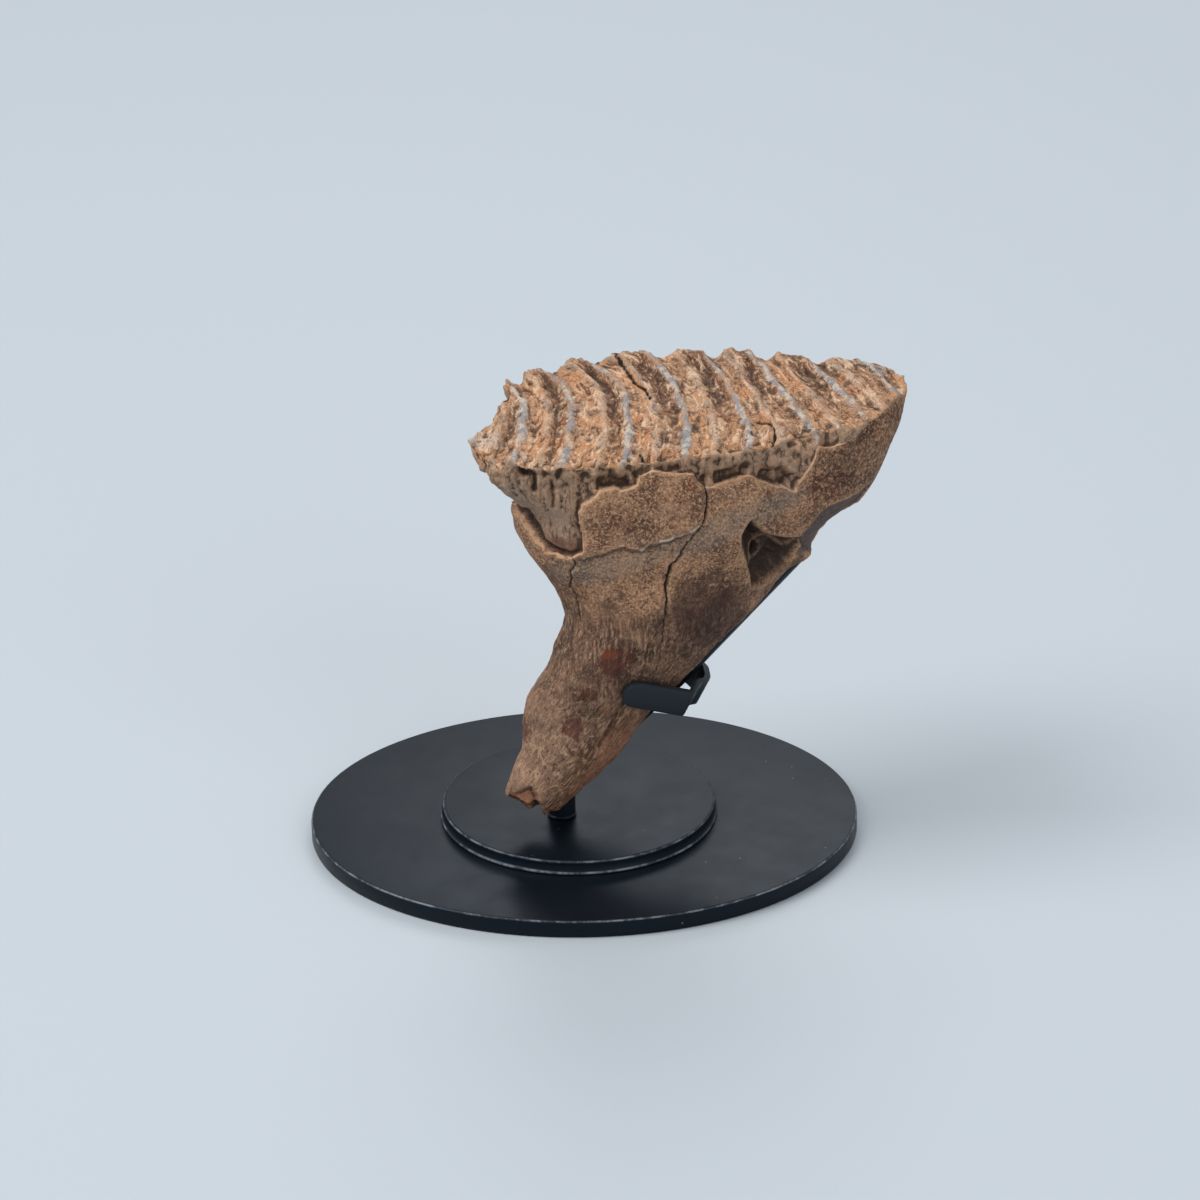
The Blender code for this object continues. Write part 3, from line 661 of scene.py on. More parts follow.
def wallRelief(points, fields):
    # height of everything on the walls, along the outward normal
    x, y, z = points.T
    flat = points[:, [0, 2]]
    front, exposed = fields["front"], fields["exposed"]
    place = (fields["rowPlace"] - plateRow["first"]) / plateRow["pitch"]
    off = np.abs(place - np.round(place)) * plateRow["pitch"]
    plates = crust["plateRise"] * (1.0 - smoothStep(plateRow["half"], plateRow["pitch"] / 2, off))
    streaks = np.stack([fields["rowPlace"] * 1.4, fields["rowAcross"] * 0.5, z * 0.22], -1)
    left = smoothStep(3.0, -5.0, x) * front        # the smooth worn wall on the left
    rough = 1.0 - 0.75 * left * smoothStep(9.0, 14.0, fields["drop"])
    crumble = (0.6 * cloudNoise(points, 2.6, 51) + 0.6 * cloudNoise(streaks, 1.6, 52)
               + 0.4 * cloudNoise(points, 1.2, 50)) * rough
    corner = smoothStep(-9.0, -1.0, x) * smoothStep(6.0, 2.0, x)
    corner = front * corner * smoothStep(106.0, 99.0, z)
    uneven = fields["drop"] + 1.9 * cloudNoise(points, 5.0, 67)
    sunk = crust["depth"] * (0.25 + 0.75 * smoothStep(0.5, 6.0, uneven)) * (1.0 - 0.75 * corner)
    height = exposed * (plates * (1.0 - 0.5 * left) + crumble - sunk)
    for atX, atZ, wide, tall, deep in crust["pockets"]:
        away = np.hypot((x - atX) / wide, (z - atZ) / tall)
        away = away + 0.45 * latticeNoise(points, 2.4, 53)
        height -= front * exposed * deep * smoothStep(1.25, 0.6, away)
    # the loose lip of crust on the left, and the crust's thin raised edge elsewhere
    lip = smoothStep(1.5, -1.0, x) * smoothStep(101.0, 94.0, z + 0.4 * x) * front
    lip = np.maximum(lip, smoothStep(-9.0, -13.0, x) * front)
    height -= lip * exposed * 1.4 * np.exp(-((fields["crustSide"] - 0.8) / 0.8) ** 2)
    height += lip * (1 - exposed) * 0.8 * np.exp(-((fields["crustSide"] + 0.5) / 1.1) ** 2)
    height += (1 - lip) * (1 - exposed) * front * 0.15 * np.exp(-((fields["crustSide"] + 0.3) / 0.8) ** 2)

    # a chipped rim along the front of the table
    chips = smoothStep(-0.25, 0.5, cloudNoise(points, 4.0, 60) + 0.5 * latticeNoise(points, 1.9, 62))
    rim = smoothStep(4.5, 0.5, fields["drop"]) * smoothStep(66.0, 58.0, x) * front
    height -= 0.7 * rim * chips
    fields["chips"] = chips * smoothStep(66.0, 58.0, x)

    # the crust's upper plate, a step above the rest
    seam = np.array(crust["seam"], float)
    above = z - np.interp(x, seam[:, 0], seam[:, 1]) + 0.5 * cloudNoise(points, 2.2, 54)
    within = smoothStep(0.0, 2.0, x) * (1.0 - smoothStep(31.0, 36.0, x))
    height += front * (1 - exposed) * crust["seamStep"] * within * smoothStep(-0.3, 0.3, above)
    fields["seamSide"] = np.where(within * front > 0.3, above, 9.0)

    terrace = cloudNoise(np.stack([x * 1.6, y, z * 0.7 + x * 0.5], -1), 3.0, 55)
    height -= breaks["hollowDepth"] * fields["hollow"] * (1.0 + 0.15 * terrace)
    inner = smoothStep(0.15, 0.7, fields["hollow"]) * front
    atX, atZ, radius, deep = breaks["hollowPit"]
    pit = np.hypot(x - atX, z - atZ)
    fields["pit"] = smoothStep(radius, radius * 0.3, pit) * inner
    height -= deep * fields["pit"]
    ledge = lineDistance(flat, breaks["hollowLedge"])
    fields["ledge"] = inner * np.exp(-((ledge / 0.9) ** 2))
    height += 2.4 * fields["ledge"]

    # cracks and the furrow down the root
    fade = smoothStep(62.0, 80.0, z)
    half = breaks["crackHalf"]
    cut = crackCut(fields["mainCrack"], half) * (0.3 + 0.7 * fade) + 0.35 * crackCut(fields["lowCrack"], half)
    cut += 0.6 * crackCut(fields["sideCrack"], half * 0.8)
    height -= front * (1 - exposed) * breaks["crackDepth"] * cut
    furrow = lineDistance(flat, breaks["furrow"])
    height -= front * 1.0 * np.exp(-((furrow / 1.1) ** 2))

    root = smoothStep(98.0, 70.0, z)
    fibres = cloudNoise(fields["grain"], 1.7, 56) + 0.7 * cloudNoise(fields["grain"], 0.8, 57)
    height += root * 0.2 * fibres
    long = cloudNoise(points * np.array((1.0, 1.0, 0.12)), 2.0, 65)
    height += 0.34 * long * smoothStep(88.0, 76.0, z) * smoothStep(30.0, 42.0, z)
    height += 0.55 * latticeNoise(points, 13.0, 58) + 0.10 * cloudNoise(points, 1.4, 59) * (1 - exposed)
    return height


def lumpRelief(points):
    height = np.zeros(len(points))
    for x, y, z, radius, rise in lumps:
        away = np.linalg.norm(points - np.array((x, y, z)), axis=1)
        height += rise * np.exp(-((away / radius) ** 2))
    return height


def breakFacet(points):
    # a flat break on the lower right of the crown
    normal = np.array(breaks["facetNormal"])
    beyond = (points - np.array(breaks["facetPoint"])) @ normal
    here = smoothStep(56.0, 60.0, points[:, 0]) * smoothStep(82.0, 87.0, points[:, 2])
    beyond = np.maximum(beyond + 0.4 * cloudNoise(points, 4.0, 64), 0.0) * here
    ragged = cloudNoise(points, 5.0, 66)
    inside = outlineDepth(points[:, [0, 2]] + 0.7 * ragged[:, None], breaks["facetOutline"])
    inside = smoothStep(0.0, 0.6, np.minimum(inside, 0.5 * (3.0 - points[:, 1]) + 2.6 * ragged))
    share = np.maximum(smoothStep(0.1, 0.6, beyond), inside)
    return points - (beyond + breaks["facetStep"] * inside)[:, None] * normal, share


def breakTip(points):
    normal = np.array(breaks["tipNormal"]) / np.linalg.norm(breaks["tipNormal"])
    beyond = (points - np.array(breaks["tipPoint"])) @ normal
    jag = 1.1 * cloudNoise(points * np.array((1.0, 1.0, 0.2)), 3.4, 61)
    reach = np.array(breaks["tipJags"], float)
    beyond = np.maximum(beyond + 0.5 * jag - 0.86 * np.interp(points[:, 0], reach[:, 0], reach[:, 1]), 0.0)
    points = points - beyond[:, None] * normal
    notch = outlineDepth(points[:, [0, 2]], breaks["tipNotch"]) * (points[:, 1] < -22.0)
    notch = smoothStep(0.0, 1.6, notch + 0.3 * jag * (notch > 0))
    points[:, 1] += 1.6 * notch
    return points, np.maximum(smoothStep(0.0, 0.6, beyond), notch)


# Stand measures, as the solids have them
stand = {
    "baseHalfLength": 75.0, "baseHalfDepth": 63.6, "baseThick": 5.0, "baseEdge": 0.8,
    "riserRadius": 37.4, "riserTop": 9.0, "riserFoot": 5.3, "riserEdge": 0.8, "riserLip": 0.6,
    "riserCentre": (-1.4, -0.3),
    "rodRadius": 3.75, "rodKnee": 9.0,
    "rodCorners": [(-6.0, -10.0, 9.3), (-6.0, -10.0, 20.5), (23.5, -1.2, 44.8), (58.4, 9.8, 78.3)],
    "collarRadius": 4.0, "collarHeight": 0.9,
    "strapWidth": 7.6, "strapThick": 1.8, "strapCentre": (20.0, 0.0, 49.9), "strapLean": 26.7,
    "strapRoute": [
        (-9.6, -27.6), (-8.6, -27.1), (-6.6, -26.0), (8.9, -17.8), (9.5, -16.0),
        (10.4, -11.5), (11.2, -9.0), (13.4, -6.2), (14.0, -3.0), (13.6, 2.6),
        (9.6, 6.4), (3.0, 7.4), (-5.0, 7.4), (-7.0, 7.2), (-8.0, 7.1),
    ],
    "arms": [(2, 3, 1.0), (11, 12, -1.0)],     # route points of each arm's face, and its inward side
    "armReach": 11.0, "armEase": 1.5,          # how far along the strip its arms face the tooth
    "room": 0.45,                              # air between the tooth and what holds it
    "baseRimHighlight": {4: 0.35, 5: 0.9, 6: 0.6},     # painted highlight along the rims, by point of the turned profile
    "riserRimHighlight": {4: 0.3, 5: 0.7, 6: 0.5, 11: 0.6, 12: 0.8},
    "rodSteel": 0.3, "strapSteel": 0.9,        # how far the steel shows through the paint
}


def strapAxes():
    lean = math.radians(stand["strapLean"])
    side = np.array((math.cos(lean), 0.0, -math.sin(lean)))
    up = np.array((math.sin(lean), 0.0, math.cos(lean)))
    return side, np.array((0.0, 1.0, 0.0)), up


def keepClear(points):
    # the tooth yields to the rod and to both arms of the strap
    reach = stand["rodRadius"] + stand["room"]
    corners = stand["rodCorners"]
    for first, second in zip(corners[:-1], corners[1:]):
        a = np.array(first, float)
        along = np.array(second, float) - a
        t = np.clip((points - a) @ along / (along @ along), 0.0, 1.0)
        away = points - a - t[:, None] * along
        length = np.linalg.norm(away, axis=1)
        near = length < reach
        points[near] += away[near] * (reach / length[near] - 1.0)[:, None]
    side, back, up = strapAxes()
    centre = np.array(stand["strapCentre"])
    local = points - centre
    along = local @ side
    room = stand["strapThick"] / 2 + stand["room"]
    ease = stand["armEase"] * np.maximum(np.abs(local @ up) - stand["strapWidth"] / 2 - 1.0, 0.0)
    route = stand["strapRoute"]
    for first, second, inward in stand["arms"]:
        (x0, y0), (x1, y1) = route[first], route[second]
        face = y0 + (y1 - y0) / (x1 - x0) * (along - x0) + inward * (room - ease)
        deep = (points - centre) @ back
        near = (along > route[0][0] - 2.0) & (along < stand["armReach"]) & (inward * deep < -1.0)
        push = np.maximum(inward * (face - deep), 0.0) * near
        points = points + (inward * push)[:, None] * back
    return points


# Tooth: geometry nodes raise the row of plates on the table
plateInputs = {                # the tree's inputs and the plateRow values that they take
    "Plate Pitch": "pitch", "First Plate": "first", "Plate Half": "half", "Enamel Rise": "enamelRise",
    "Enamel Width": "enamelWidth", "Cement Drop": "cementDrop", "Dentine Dish": "dentineDish",
    "Back Rise": "backRise", "Back Reach": "backReach", "Wave Height": "waveHeight",
    "Wave Length": "waveLength", "Crimp Height": "crimpHeight", "Crimp Length": "crimpLength",
}


def plateTree():
    tree = bpy.data.node_groups.new("plateRow", "GeometryNodeTree")
    face = tree.interface
    face.new_socket("Geometry", in_out="INPUT", socket_type="NodeSocketGeometry")
    for title in (*plateInputs, "Seed"):
        face.new_socket(title, in_out="INPUT", socket_type="NodeSocketFloat")
    face.new_socket("Upright", in_out="INPUT", socket_type="NodeSocketVector")
    face.new_socket("Material", in_out="INPUT", socket_type="NodeSocketMaterial")
    face.new_socket("Geometry", in_out="OUTPUT", socket_type="NodeSocketGeometry")
    given = tree.nodes.new("NodeGroupInput").outputs
    out = tree.nodes.new("NodeGroupOutput")

    def named(name):
        return addNode(tree, "GeometryNodeInputNamedAttribute", {"Name": name}, data_type="FLOAT").outputs[0]

    def wave(length, height, shift):
        spot = tree.nodes.new("GeometryNodeInputPosition").outputs[0]
        size = mathNode("DIVIDE", 1.0, length)
        noise = addNode(tree, "ShaderNodeTexNoise", {"Vector": spot, "Scale": size, "Detail": 2.0},
                        noise_dimensions="4D")
        tree.links.new(plus(given["Seed"], shift), noise.inputs["W"])
        centred = minus(noise.outputs["Fac"], 0.5)
        return times(centred, 2.0, height)

    def bell(value, width):
        share = mathNode("DIVIDE", value, width)
        square = times(share, share)
        return mathNode("EXPONENT", times(square, -1.0))

    place = plus(named("rowPlace"), wave(given["Wave Length"], given["Wave Height"], 0.0))
    place = plus(place, wave(given["Crimp Length"], given["Crimp Height"], 5.0))
    place = mathNode("DIVIDE", minus(place, given["First Plate"]), given["Plate Pitch"])
    beside = minus(place, mathNode("ROUND", place))
    off = times(mathNode("ABSOLUTE", beside), given["Plate Pitch"])
    middle = times(given["Plate Pitch"], 0.5)
    half = given["Plate Half"]
    plate = remap(off, times(half, 1.25), times(half, 0.75))
    atBack = remap(named("backGap"), given["Back Reach"], times(given["Back Reach"], 0.25))
    rim = bell(minus(off, half), given["Enamel Width"])
    worn = remap(wave(times(given["Wave Length"], 0.7), 1.0, 9.0), -0.4, 0.3, 0.2, 1.2)
    rim = times(rim, given["Enamel Rise"], worn)
    rim = times(rim, remap(beside, -0.1, 0.1, 0.5, 1.15))
    dish = remap(off, times(half, 0.95), times(half, 0.1))
    dish = times(dish, minus(1.0, atBack))
    dish = times(dish, remap(named("rowAcross"), -0.016, 0.008, 0.3, 1.0))
    dish = times(dish, given["Dentine Dish"], -1.0)
    cement = remap(off, half, middle)
    cement = times(cement, given["Cement Drop"], -1.0)
    high = times(minus(plate, 0.5), atBack)
    high = times(high, given["Back Rise"])
    height = plus(plus(cement, dish), plus(rim, high))
    height = times(height, named("tableShare"))
    move = addNode(tree, "ShaderNodeVectorMath", {0: given["Upright"], "Scale": height}, operation="SCALE")
    last = addNode(tree, "GeometryNodeSetPosition",
                   {"Geometry": given["Geometry"], "Offset": move.outputs[0]})
    for name, value in (("plateOff", off), ("plateSide", beside)):
        last = addNode(tree, "GeometryNodeStoreNamedAttribute",
                       {"Geometry": last.outputs[0], "Name": name, "Value": value},
                       data_type="FLOAT", domain="POINT")
    real = addNode(tree, "GeometryNodeRealizeInstances", {"Geometry": last.outputs[0]})
    done = addNode(tree, "GeometryNodeSetMaterial",
                   {"Geometry": real.outputs[0], "Material": given["Material"]})
    tree.links.new(done.outputs[0], out.inputs[0])
    return tree


def raisePlates(tooth, upright, material):
    tree = plateTree()
    modifier = tooth.modifiers.new("plateRow", "NODES")
    modifier.node_group = tree
    values = {title: plateRow[key] * mm for title, key in plateInputs.items()}
    values["Seed"] = plateRow["seed"]
    values["Upright"] = tuple(float(v) for v in upright)
    values["Material"] = material
    for socket in tree.interface.items_tree:
        if socket.in_out == "INPUT" and socket.name in values:
            modifier[socket.identifier] = values[socket.name]
    mesh = evaluatedMesh(tooth)
    tooth.modifiers.remove(modifier)
    tooth.data = mesh


# Tooth: how hollow or sharp the surface is at each point

def surfaceCurve(mesh, points, normals, rounds):
    edges = np.empty(len(mesh.edges) * 2, np.int64)
    mesh.edges.foreach_get("vertices", edges)
    ends = edges.reshape(-1, 2)
    a, b = ends[:, 0], ends[:, 1]
    count = np.bincount(a, minlength=len(points)) + np.bincount(b, minlength=len(points))

    def average(values):
        total = np.bincount(a, values[b], len(points)) + np.bincount(b, values[a], len(points))
        return total / np.maximum(count, 1)

    smooth = points.copy()
    for _ in range(rounds):
        smooth = np.stack([average(smooth[:, k]) for k in range(3)], -1)
    return np.einsum("ij,ij->i", points - smooth, normals)


stains = {                     # X, Z, half width, half height, strength
    "rust": [(7.6, 65.8, 1.9, 1.4, 0.8), (11.8, 67.6, 1.8, 1.0, 0.4), (29.5, 113.5, 1.6, 2.6, 0.5),
             (5.5, 48.5, 1.8, 1.6, 0.4)],
    "red": [
        (9.3, 63.8, 6.0, 5.0, 1.0), (1.5, 53.6, 3.8, 2.2, 1.0), (6.0, 58.5, 4.5, 3.0, 0.4),
        (-2.2, 44.2, 3.4, 3.4, 1.0), (-1.5, 47.5, 3.0, 3.0, 0.4), (-8.5, 32.5, 3.0, 3.0, 0.3),
        (-2.5, 37.0, 2.5, 3.0, 0.5), (-4.5, 96.5, 6.5, 3.6, 1.0), (38.5, 77.0, 1.6, 8.0, 0.6),
        (24.5, 108.0, 8.0, 4.0, 0.3), (12.0, 104.0, 6.0, 3.5, 0.35), (-14.8, 117.4, 2.2, 2.0, 0.9),
        (31.0, 76.0, 7.0, 9.0, 0.45), (36.0, 68.0, 2.0, 4.0, 0.5), (-16.5, 41.5, 2.5, 3.5, 0.9),
        (66.0, 107.0, 7.0, 7.0, 0.55),
    ],
    # the shade spots are painted shade, darkening the root's right side and the right wall
    "shade": [(26.0, 80.6, 2.4, 1.6, 0.9), (12.0, 57.0, 5.5, 4.0, 0.5), (0.0, 50.0, 6.0, 5.0, 0.4),
              (17.0, 55.0, 5.0, 5.0, 0.6), (33.0, 75.0, 12.0, 15.0, 1.2), (-4.0, 36.0, 5.0, 5.0, 0.3),
              (74.0, 115.0, 16.0, 16.0, 0.52)],
}
tableStains = {                # X, Y, half width, half depth, strength
    "cream": [(80.5, 20.5, 4.5, 4.0, 0.8), (-23.5, -12.5, 4.0, 5.5, 0.7), (-15.0, -22.0, 5.0, 3.0, 0.5),
              (-14.0, -8.0, 2.5, 8.0, 0.5)],
    "brown": [(69.0, 20.5, 7.0, 5.0, 0.9), (46.0, 21.0, 7.0, 6.0, 0.6), (26.0, 20.0, 6.0, 7.0, 0.5),
              (-16.0, 12.0, 4.0, 4.0, 0.8), (60.0, 4.0, 6.0, 5.0, 0.4)],
}
greyBand = {
    "line": [(-5, 88.5), (5.5, 90.7), (12.1, 93), (19.9, 95.2), (27.8, 96.9), (35.7, 99.3), (43.6, 102.3),
             (50.3, 104.3), (55.6, 106)],
    "half": 3.4,
    "spots": [(-17.0, 108.0, 5.0, 7.0, 0.9), (-6.0, 104.0, 3.5, 4.0, 0.7), (-10.0, 100.0, 6.0, 5.0, 0.4),
              (12.0, 100.0, 6.0, 2.5, 0.35), (40.0, 109.0, 6.0, 3.0, 0.4), (22.0, 107.0, 7.0, 3.0, 0.4)],
}


def stainField(points, front, spots, seed, up=2):
    total = np.zeros(len(points))
    blur = cloudNoise(points, 4.0, seed)
    for x, z, wide, tall, strength in spots:
        away = np.hypot((points[:, 0] - x) / wide, (points[:, up] - z) / tall) + 0.35 * blur
        total = np.maximum(total, strength * smoothStep(1.25, 0.35, away))
    return total * front


def greyField(points, front):
    gap = lineDistance(points[:, [0, 2]], greyBand["line"]) + 1.9 * cloudNoise(points, 6.0, 77)
    band = smoothStep(greyBand["half"] + 2.6, greyBand["half"] - 2.6, gap) * front
    return np.maximum(band, stainField(points, front, greyBand["spots"], 78))


def sculptTooth(material):
    tooth = placePiece("toothSurface", toothLoft(), material)
    even = tooth.modifiers.new("even faces", "REMESH")
    even.mode = "VOXEL"
    even.voxel_size = toothForm["voxel"] * mm
    mesh = evaluatedMesh(tooth)
    tooth.modifiers.clear()
    tooth.data = mesh
    points = readVectors(mesh, "co") / mm
    normals = readVectors(mesh, "normal")
    fields = gatherFields(points, normals)
    relief = fields["wall"] * wallRelief(points, fields) + lumpRelief(points)
    moved = points + relief[:, None] * normals
    moved, fields["facet"] = breakFacet(moved)
    moved, fields["tip"] = breakTip(moved)
    moved = keepClear(moved)
    writePoints(mesh, moved * mm)
    for name in ("rowPlace", "rowAcross", "backGap"):
        storeValue(mesh, name, fields[name] * mm)
    for name in ("tableShare", "tableTone", "exposed", "hollow", "ledge", "facet", "pit", "tip"):
        storeValue(mesh, name, fields[name])
    for name in ("crustSide", "mainCrack", "sideCrack", "lowCrack", "seamSide", "tableCrack"):
        storeValue(mesh, name, np.clip(fields[name], -6.0, 6.0))
    storeValue(mesh, "frontSide", fields["front"])
    storeValue(mesh, "grain", fields["grain"])
    storeValue(mesh, "rows", np.stack([fields["rowPlace"], fields["rowAcross"] * 0.3, points[:, 2]], -1))
    sides = ((stains, fields["front"], 70, 2), (tableStains, fields["tableShare"], 90, 1))
    for group, share, seed, up in sides:
        for name, spots in group.items():
            storeValue(mesh, name + "Stain", stainField(points, share, spots, seed + len(name), up))
    storeValue(mesh, "greyStain", greyField(points, fields["front"]))
    raisePlates(tooth, fields["upright"], material)

    # fine crumble on top, then the measure of edges and crevices
    mesh = tooth.data
    points = readVectors(mesh, "co") / mm
    normals = readVectors(mesh, "normal")
    onTable = fields["tableShare"] * (1 - fields["wall"] * 0.6)
    rows = np.stack([fields["rowPlace"], 0.3 * fields["rowAcross"], np.zeros(len(points))], -1)
    fine = onTable * (0.4 * cloudNoise(points, 7.0, 80) + 0.24 * cloudNoise(points, 2.6, 81)
                      + 0.45 * cloudNoise(rows, 2.4, 83) + 0.2 * cloudNoise(points, 1.2, 82))
    chipped = 2.2 * (1.0 - 0.8 * fields["wall"]) * smoothStep(4.6, 0.4, frontGap(points)) * fields["chips"]
    fine -= chipped * fields["tableShare"]
    fine -= 1.4 * fields["tableTone"] * crackCut(fields["tableCrack"], 0.4)
    points = points + fine[:, None] * normals
    points = keepClear(points)
    writePoints(mesh, points * mm)
    normals = readVectors(mesh, "normal")
    storeValue(mesh, "sharp", np.clip(surfaceCurve(mesh, points, normals, 3) / 0.22, -1.0, 1.0))
    storeValue(mesh, "broad", np.clip(surfaceCurve(mesh, points, normals, 16) / 0.8, -1.0, 1.0))
    mesh.shade_smooth()
    print("tooth:", sum(len(p.vertices) - 2 for p in mesh.polygons), "triangles")
    return tooth


# Tooth: finish
fossilFinish = {"shine": 0.28, "bumpStrength": 0.85, "bumpHeight": 0.6}
# edge is the painted highlight tone for the crust's broken edge
fossilTones = {
    "tableTan": (196, 152, 117), "tableLight": (238, 203, 170), "tableBrown": (128, 86, 60),
    "tableDark": (60, 42, 34), "tableOrange": (198, 136, 90), "enamelBlue": (134, 148, 160),
    "enamelCream": (214, 206, 194),
    "bandMid": (166, 132, 107), "bandDark": (54, 40, 32), "bandGrey": (196, 172, 148),
    "crustMid": (175, 130, 98), "crustDark": (108, 75, 56), "crustLight": (218, 176, 138),
    "rootMid": (130, 94, 76), "rootDark": (60, 42, 34), "rootLight": (196, 160, 124),
    "pale": (196, 158, 130), "rust": (136, 68, 34), "red": (90, 46, 36), "grey": (146, 138, 126),
    # hollow and facet are painted shade tones
    "edge": (220, 174, 138), "hollow": (43, 33, 30), "facet": (70, 66, 70), "crack": (22, 16, 13),
    # shade is the painted shade tone
    "tip": (160, 104, 76), "shade": (52, 37, 33),
}


def tone(name):
    return srgb(*fossilTones[name])


def over(colour, name, share):
    return mixColour(share, colour, tone(name))


def tableColour(tree, spot):
    patches = noiseNode(spot, 0.13, 5.0, 0.65, 0.4)
    crumbs = noiseNode(attributeNode(tree, "rows", "Vector"), 0.6, 6.0, 0.72, 0.9)
    fine = noiseNode(spot, 2.4, 4.0, 0.75)
    colour = mixColour(remap(patches, 0.40, 0.62), tone("tableTan"), tone("tableOrange"))
    off = times(attributeNode(tree, "plateOff"), 1.0 / mm)
    across = times(attributeNode(tree, "rowAcross"), 1.0 / mm)
    along = times(attributeNode(tree, "rowPlace"), 1.0 / mm)
    half = plateRow["half"]
    # brown lies in the dish of each plate, most in the middle and at the back, least at the small end
    dish = plus(off, remap(noiseNode(spot, 0.3, 4.0), 0.3, 0.7, -1.8, 1.8, False))
    dish = remap(dish, half + 0.3, half - 1.5)
    dish = times(dish, remap(across, -14.0, 10.0, 0.35, 1.0))
    brown = mathNode("MAXIMUM", dish, remap(patches, 0.50, 0.34, 0.0, 0.9))
    brown = times(brown, remap(along, -42.0, -10.0, 0.4, 1.0))
    brown = mathNode("MAXIMUM", brown, attributeNode(tree, "brownStain"))
    colour = over(colour, "tableBrown", brown)
    cream = times(attributeNode(tree, "creamStain"), remap(fine, 0.40, 0.60, 0.3, 1.0))
    colour = over(colour, "enamelCream", cream)
    colour = over(colour, "tableLight", remap(crumbs, 0.51, 0.61, 0.0, 0.85))
    colour = over(colour, "tableDark", remap(crumbs, 0.47, 0.38, 0.0, 0.9))
    colour = over(colour, "tableLight", remap(fine, 0.55, 0.64, 0.0, 0.6))
    colour = over(colour, "tableDark", remap(fine, 0.45, 0.37, 0.0, 0.8))
    # the enamel: broken, wavy lines along both faces of each plate
    gap = mathNode("ABSOLUTE", minus(off, half))
    ragged = plus(gap, remap(noiseNode(spot, 1.1, 3.0), 0.3, 0.7, -0.6, 0.6, False))
    line = remap(ragged, 1.05, 0.6)
    shown = remap(noiseNode(spot, 0.10, 3.0, 0.6), 0.39, 0.47, 0.25, 1.0)
    enamel = times(line, shown)
    rightFace = remap(attributeNode(tree, "plateSide"), -0.06, 0.06)
    enamel = times(enamel, remap(rightFace, 0.0, 1.0, 0.28, 1.0))
    blue = remap(noiseNode(spot, 0.30, 3.0, 0.7), 0.44, 0.54)
    blue = times(blue, rightFace)
    enamelTone = mixColour(blue, tone("enamelCream"), tone("enamelBlue"))
    enamelTone = over(enamelTone, "tableBrown", remap(fine, 0.48, 0.38, 0.0, 0.75))
    colour = mixColour(times(enamel, 0.9), colour, enamelTone)
    crack = remap(attributeNode(tree, "tableCrack"), 0.55, 0.2)
    return over(colour, "crack", crack), enamel


def crustColour(spot):
    patches = noiseNode(spot, 0.12, 5.0, 0.65)
    speckles = noiseNode(spot, 1.5, 4.0, 0.8)
    fine = noiseNode(spot, 2.8, 2.0, 0.6)
    colour = mixColour(remap(patches, 0.36, 0.62), tone("crustDark"), tone("crustMid"))
    colour = over(colour, "crustLight", remap(speckles, 0.50, 0.60, 0.0, 0.85))
    colour = over(colour, "rootDark", remap(speckles, 0.45, 0.37, 0.0, 0.85))
    return over(colour, "rootDark", remap(fine, 0.40, 0.30, 0.0, 0.8))


def rootColour(tree, spot, grain, low):
    patches = noiseNode(spot, 0.11, 5.0, 0.65)
    fibres = noiseNode(grain, 2.0, 4.0, 0.75, 0.5)
    flecks = noiseNode(grain, 4.0, 2.0, 0.6)
    colour = mixColour(remap(patches, 0.36, 0.62), tone("rootDark"), tone("rootMid"))
    colour = over(colour, "rootLight", remap(fibres, 0.51, 0.66, 0.0, 0.4))
    colour = over(colour, "rootLight", remap(flecks, 0.58, 0.70, 0.0, 0.35))
    colour = over(colour, "rootDark", remap(fibres, 0.46, 0.35, 0.0, 0.95))
    # long pale fibres down the waist
    drawn = addNode(tree, "ShaderNodeMapping", {"Vector": spot, "Scale": (1.0, 1.0, 0.12)}).outputs[0]
    strokes = noiseNode(drawn, 1.5, 4.0, 0.7, 0.3)
    down = addNode(tree, "ShaderNodeSeparateXYZ", {0: grain}).outputs[2]
    waist = times(remap(down, 15.0, 19.0), remap(down, 30.0, 26.0))
    pale = times(remap(strokes, 0.52, 0.62), waist)
    colour = over(colour, "rootLight", times(pale, 0.55))
    deep = times(remap(strokes, 0.46, 0.36), waist)
    colour = over(colour, "rootDark", times(deep, 0.75))
    # a net of pale veins over the lower root
    net = addNode(tree, "ShaderNodeTexVoronoi", {"Vector": grain, "Scale": 0.75}, feature="DISTANCE_TO_EDGE")
    veins = remap(net.outputs["Distance"], 0.14, 0.03)
    kept = remap(noiseNode(spot, 0.35, 3.0), 0.42, 0.56)
    veins = times(veins, kept, low)
    return over(colour, "rootLight", times(veins, 0.7))


def bandColour(tree, spot):
    streaks = addNode(tree, "ShaderNodeMapping", {"Vector": spot, "Scale": (1.0, 1.0, 0.3)}).outputs[0]
    lines = noiseNode(streaks, 0.9, 5.0, 0.75, 0.4)
    crumbs = noiseNode(spot, 1.1, 5.0, 0.75)
    colour = mixColour(remap(lines, 0.34, 0.50), tone("bandDark"), tone("bandMid"))
    colour = over(colour, "bandGrey", remap(crumbs, 0.50, 0.66, 0.0, 0.8))
    return over(colour, "bandDark", remap(crumbs, 0.42, 0.30, 0.0, 0.8))


